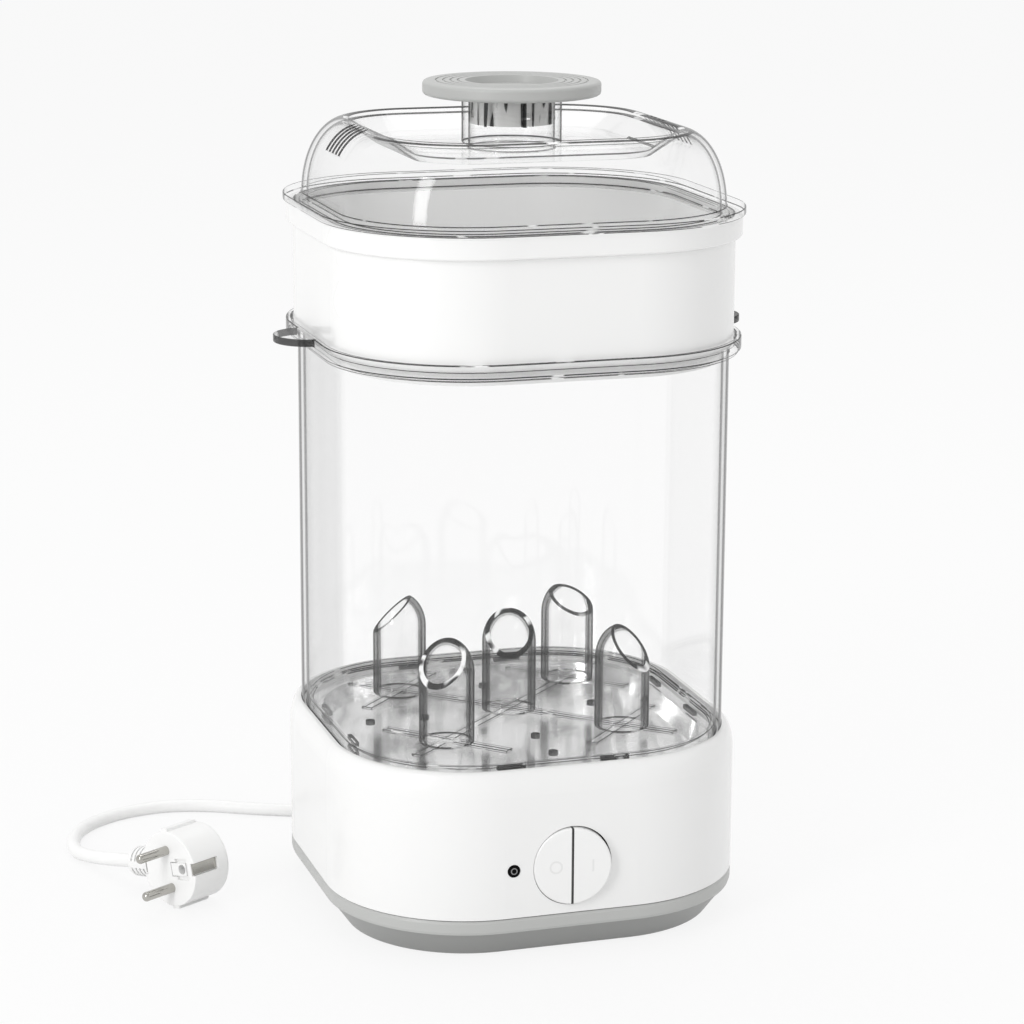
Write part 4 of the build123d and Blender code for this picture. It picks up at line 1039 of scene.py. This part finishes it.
class STERILIZER_OT_rack(bpy.types.Operator):
    """Make the clear rack: a shallow tray with ribs and drain holes, and five slant-cut prongs"""

    bl_idname = "sterilizer.rack"
    bl_label = "Bottle rack"

    def execute(self, context):
        foot, prong_top = low("bottle_rack").z, high("bottle_rack").z
        floor = foot + RACK_FLOOR
        rim = foot + RACK_HEIGHT
        within = RACK_OUT - RACK_RIM
        tray = rim_plate(
            [
                (within - RACK_FILLET, floor),
                (within, floor + RACK_FILLET),
                (within, rim),
                (RACK_OUT, rim),
                (RACK_OUT, foot),
                (RACK_OUT - RACK_INSET, foot),
            ]
        )
        holes = bmesh.new()
        for reach in HOLE_REACHES:
            for quarter in range(4):
                angle = math.radians(90 * quarter)
                spot = (reach * math.cos(angle), reach * math.sin(angle), foot - 1)
                add_to(holes, rod(spot, HOLE_RADIUS, 5.0, 20))
        side = HALF + RACK_OUT - SLOT_INSET
        for shift in (-SLOT_SHIFT, SLOT_SHIFT):
            for edge in (-side, side):
                add_to(holes, block((edge, shift, floor), (SLOT_WIDTH, SLOT_LENGTH, SLOT_CUT)))
                add_to(holes, block((shift, edge, floor), (SLOT_LENGTH, SLOT_WIDTH, SLOT_CUT)))
        # The rounded edges and the walls of holes and slots take the cut-edge finish: painted dark with
        # painted glints
        round_edges(tray, RACK_ROUND, mark=1)
        tray = carve(tray, holes, mark=1)
        rib_middle = floor + RIB_HEIGHT / 2
        for turn in (PRONG_TURN, -PRONG_TURN):
            rib = block((0, 0, rib_middle), (LONG_RIB, RIB_WIDTH, RIB_HEIGHT), turn)
            add_to(tray, round_edges(rib, RIB_ROUND, mark=1))
        for spot, turn in PRONG_SPOTS.items():
            if spot != (0, 0):
                rib = block((*spot, rib_middle), (RIB_WIDTH, SHORT_RIB, RIB_HEIGHT), turn)
                add_to(tray, round_edges(rib, RIB_ROUND, mark=1))
            inside, outside = PRONG_RADIUS - RING_IN, PRONG_RADIUS + RING_OUT
            ring_top = floor + RING_HEIGHT
            ring = [(inside, floor), (outside, floor), (outside, ring_top), (inside, ring_top)]
            add_to(tray, round_edges(turned(ring, centre=spot), RACK_ROUND))
        prongs = bmesh.new()
        for spot, turn in PRONG_SPOTS.items():
            add_to(prongs, slant_prong(spot, turn, floor, prong_top))
        rack = finished(tray, "clear_rack", "rack", "clear_plastic", "clear_tray", "clear_edge")
        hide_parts("bottle_rack")
        finished(prongs, "rack_prongs", "rack", "clear_plastic", "clear_tube", "prong_edge")
        return {"FINISHED"}


# The lid's flange, and the tongue under it that sits in the basket's rim
TONGUE_DEPTH = 4.5
TONGUE_OUT = 1.2
TONGUE_IN = -1.0
FLANGE_OUT = 6.7
FLANGE_HEIGHT = 3.5

# Its dome, a quarter of an ellipse from the flange up to the crest
DOME_FOOT = -2.5
DOME_RUN = 22.0
DOME_RISE = 36.0
DOME_STEPS = 18
CREST = DOME_FOOT - DOME_RUN

# The sunken middle and the neck in it
RECESS_RUN = 14.0
RECESS_DEPTH = 9.6
RECESS_LEDGE = 3.0
NECK_RADIUS = 24.2
NECK_WALL = 3.3
LOOP_COUNT = 4 * (CORNER_STEPS + 2)

# The steam vents
VENT_PITCH = 5.75
VENT_ANGLE = math.radians(63.0)
VENT_SIZE = (20.0, 2.2, 9.0)
VENT_ROUND = 1.05
VENT_SPAN = 15.0


class STERILIZER_OT_lid(bpy.types.Operator):
    """Make the clear dome with its flange, sunken middle, neck and steam vents"""

    bl_idname = "sterilizer.lid"
    bl_label = "Lid"

    def execute(self, context):
        seat = low("lid").z + TONGUE_DEPTH
        dome = seat + FLANGE_HEIGHT
        crest = dome + DOME_RISE
        recess = crest - RECESS_DEPTH
        neck_top = high("lid").z
        outer = ellipse((CREST, dome), DOME_RUN, DOME_RISE, 90, 0, DOME_STEPS)
        inner = ellipse((CREST, dome), DOME_RUN - CLEAR_WALL, DOME_RISE - CLEAR_WALL, 0, 90, DOME_STEPS)
        slope_foot = CREST - RECESS_RUN
        bm = rim_wall(
            [
                (slope_foot - RECESS_LEDGE, recess),
                (slope_foot, recess),
                (slope_foot + 1.4, recess + 0.96),
                *outer,
                (FLANGE_OUT, dome),
                (FLANGE_OUT, seat),
                (TONGUE_OUT, seat),
                (TONGUE_OUT, seat - TONGUE_DEPTH),
                (TONGUE_IN, seat - TONGUE_DEPTH),
                (TONGUE_IN, seat),
                (DOME_FOOT - CLEAR_WALL, seat),
                *inner,
                (slope_foot, recess - CLEAR_WALL),
                (slope_foot - RECESS_LEDGE, recess - CLEAR_WALL),
            ],
            closed=False,
        )
        rims = [edge for edge in bm.edges if edge.is_boundary]
        tops = []
        for height, radius in ((recess, NECK_RADIUS), (recess - CLEAR_WALL, NECK_RADIUS - NECK_WALL)):
            loop = [edge for edge in rims if abs(edge.verts[0].co.z - height * MM) < 0.1 * MM]
            ring = bmesh.ops.create_circle(bm, segments=LOOP_COUNT, radius=radius * MM)["verts"]
            bmesh.ops.translate(bm, verts=ring, vec=(0, 0, height * MM))
            around = list(dict.fromkeys(edge for vert in ring for edge in vert.link_edges))
            bmesh.ops.bridge_loops(bm, edges=loop + around)
            tops += pull(bm, around, (0, 0, neck_top - height))
        bmesh.ops.bridge_loops(bm, edges=tops)
        clean(bm)

        def on_band(at, normal):
            """A ring of faces just outside the crest, along the front and the middle of the back."""
            around = at.y < -18.0 or at.y > 0.0 and abs(at.x) < 52.0
            return around and crest - 1.3 < at.z < crest - 0.5 and normal.z > 0.9

        def on_slope(at, normal):
            """The foot of the slope into the sunken middle, in its front half."""
            inside = max(abs(at.x), abs(at.y)) < HALF + CREST and at.y < 0.0
            return inside and 0.5 < normal.z < 0.95 and recess < at.z < recess + 0.9

        def on_crest(at):
            """The edges near the crest on both faces of the wall, away from the neck."""
            return at.z > crest - 3.0 - CLEAR_WALL and at.xy.length > 60.0

        def on_vent(at):
            """The edge of each vent on the dome's outside, along the side that lies further back."""
            run = (abs(at.x) - HALF - CREST) / DOME_RUN
            rise = (at.z - dome) / DOME_RISE
            on_dome = rise > 0.6 and run > 0.1 and math.hypot(run, rise) > 0.96
            far_side = at.y - VENT_PITCH * round(at.y / VENT_PITCH) > 0.3
            return on_dome and far_side and abs(at.y) < VENT_SPAN

        mark_faces(bm, 3, lambda at, normal: abs(normal.z) > 0.99 and at.z < crest - 2.0)
        mark_faces(bm, 2, lambda at, normal: at.xy.length < NECK_RADIUS + 0.5 and abs(normal.z) < 0.2)
        # Index 1 is the cut-edge finish: the band by the crest, the slope's foot and the rounded edges show
        # as painted dark lines with painted glints
        mark_faces(bm, 1, on_band)
        mark_faces(bm, 1, on_slope)
        flange_top = dome + 1.0
        round_edges(bm, 1.3, mark=1, sharp=25.0, clamp=False, where=on_crest)
        round_edges(bm, 0.4, mark=1, clamp=False, where=lambda at: at.z < flange_top)
        round_edges(bm, 0.7, mark=1, clamp=False, where=lambda at: at.z > flange_top and not on_crest(at))
        run, rise = DOME_RUN * math.cos(VENT_ANGLE), DOME_RISE * math.sin(VENT_ANGLE)
        lean = math.atan2(DOME_RISE * math.cos(VENT_ANGLE), DOME_RUN * math.sin(VENT_ANGLE))
        slots = bmesh.new()
        for side in (-1, 1):
            for place in range(-2, 3):
                slot = block((0, 0, 0), VENT_SIZE)
                round_edges(slot, VENT_ROUND, segments=5, where=lambda at: abs(at.z) < 1)
                bmesh.ops.rotate(slot, verts=slot.verts[:], matrix=Matrix.Rotation(side * lean, 3, "Y"))
                spot = Vector((side * (HALF + CREST + run), place * VENT_PITCH, dome + rise))
                bmesh.ops.translate(slot, verts=slot.verts[:], vec=spot * MM)
                add_to(slots, slot)
        bm = carve(bm, slots)
        # The far side of each vent is rounded and painted dark, as painted shade in the vent
        round_edges(bm, 0.8, segments=2, mark=1, clamp=False, where=on_vent)
        finishes = ("clear_dome", "clear_edge", "clear_neck", "clear_flat")
        lid = finished(bm, "clear_lid", "lid", "clear_plastic", *finishes)
        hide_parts("lid")
        return {"FINISHED"}


class STERILIZER_OT_basket(bpy.types.Operator):
    """Finish the white basket and the grey disc handle"""

    bl_idname = "sterilizer.basket"
    bl_label = "Basket and handle"

    def execute(self, context):
        dress("white_plastic", "accessory_basket")
        dress("handle_plastic", "handle_disc")
        return {"FINISHED"}


# The cord's course in millimetres: out of the base, round the coil in two layers, and on to the plug
CORD_DIAMETER = 7.0
TABLE_Z = 3.6
UPPER_Z = 11.2
LEAD_POINTS = [
    (0.0, 131.5, 31.0),
    (0.0, 158.0, 31.0),
    (0.0, 196.0, TABLE_Z),
    (0.0, 232.0, TABLE_Z),
]
COIL_FOOT_Y = 239.0
COIL_RADII = (41.35, 37.55, 33.75, 37.55, 41.35)
COIL_STEPS = 8
TAIL_POINTS = [
    (82.7, 232.0, UPPER_Z),
    (82.7, 206.0, UPPER_Z),
    (77.0, 176.0, TABLE_Z),
    (60.0, 148.0, TABLE_Z),
    (30.0, 127.0, TABLE_Z),
    (-8.0, 118.0, TABLE_Z),
    (-47.0, 121.0, TABLE_Z),
    (-88.0, 132.0, TABLE_Z),
    (-134.0, 158.0, TABLE_Z),
    (-168.0, 155.0, TABLE_Z),
    (-193.0, 139.0, TABLE_Z),
    (-205.0, 114.0, TABLE_Z),
    (-203.0, 88.7, TABLE_Z),
    (-181.0, 52.4, 12.6),
]


def coil_points():
    """Control points of the coil's half turns, which wind in, climb a layer and wind out."""
    points = []
    side = 0.0
    middle = len(COIL_RADII) // 2
    for turn, radius in enumerate(COIL_RADII):
        across = 1 if turn % 2 == 0 else -1
        centre = side + radius * across
        outer = radius / math.cos(math.radians(90 / COIL_STEPS))
        start = TABLE_Z if turn <= middle else UPPER_Z
        end = TABLE_Z if turn < middle else UPPER_Z
        for step in range(COIL_STEPS):
            share = (step + 0.5) / COIL_STEPS
            angle = math.pi * share
            points.append(
                (
                    centre - across * outer * math.cos(angle),
                    COIL_FOOT_Y + across * outer * math.sin(angle),
                    start + (end - start) * share,
                )
            )
        side += 2 * radius * across
    return points


class STERILIZER_OT_cord(bpy.types.Operator):
    bl_idname = "sterilizer.cord"
    bl_label = "Cord and plug"

    def execute(self, context):
        curve = bpy.data.curves.new("mains_cord", "CURVE")
        curve.dimensions = "3D"
        curve.resolution_u = 10
        curve.bevel_depth = CORD_DIAMETER / 2 * MM
        curve.bevel_resolution = 6
        curve.use_fill_caps = True
        points = LEAD_POINTS + coil_points() + TAIL_POINTS
        spline = curve.splines.new("NURBS")
        spline.points.add(len(points) - 1)
        for point, spot in zip(spline.points, points):
            point.co = (*(Vector(spot) * MM), 1.0)
        spline.order_u = 3
        spline.use_endpoint_u = True
        cord = named("mains_cord", curve)
        curve.materials.append(finish_of("cord_jacket"))
        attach(cord, "base")
        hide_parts("cord_lead", "cord_coil", "cord_tail")
        dress("cord_jacket", "cord_boot", "plug_boot")
        dress("plug_plastic", "plug_body")
        dress("nickel", "plug_pins", "plug_earth_clips")
        return {"FINISHED"}


STEPS = ("stage", "base", "inside", "switch", "rack", "chamber", "lid", "basket", "cord")


class STERILIZER_PT_panel(bpy.types.Panel):
    """Lists the steps that make the model"""

    bl_idname = "STERILIZER_PT_panel"
    bl_label = "Baby bottle sterilizer"
    bl_space_type = "VIEW_3D"
    bl_region_type = "UI"
    bl_category = "Sterilizer"

    def draw(self, context):
        for settings in (context.scene.sterilizer_colours, context.scene.sterilizer_studio):
            for key in settings.__annotations__:
                self.layout.prop(settings, key)
        for step in STEPS:
            self.layout.operator(f"sterilizer.{step}")


CLASSES = (
    SterilizerColours,
    SterilizerStudio,
    STERILIZER_OT_stage,
    STERILIZER_OT_base,
    STERILIZER_OT_inside,
    STERILIZER_OT_switch,
    STERILIZER_OT_rack,
    STERILIZER_OT_chamber,
    STERILIZER_OT_lid,
    STERILIZER_OT_basket,
    STERILIZER_OT_cord,
    STERILIZER_PT_panel,
)


def register():
    for made in CLASSES:
        bpy.utils.register_class(made)
    bpy.types.Scene.sterilizer_colours = PointerProperty(type=SterilizerColours)
    bpy.types.Scene.sterilizer_studio = PointerProperty(type=SterilizerStudio)


def unregister():
    del bpy.types.Scene.sterilizer_studio
    del bpy.types.Scene.sterilizer_colours
    for made in reversed(CLASSES):
        bpy.utils.unregister_class(made)


def main():
    register()
    for step in STEPS:
        getattr(bpy.ops.sterilizer, step)()


if __name__ == "__main__":
    main()
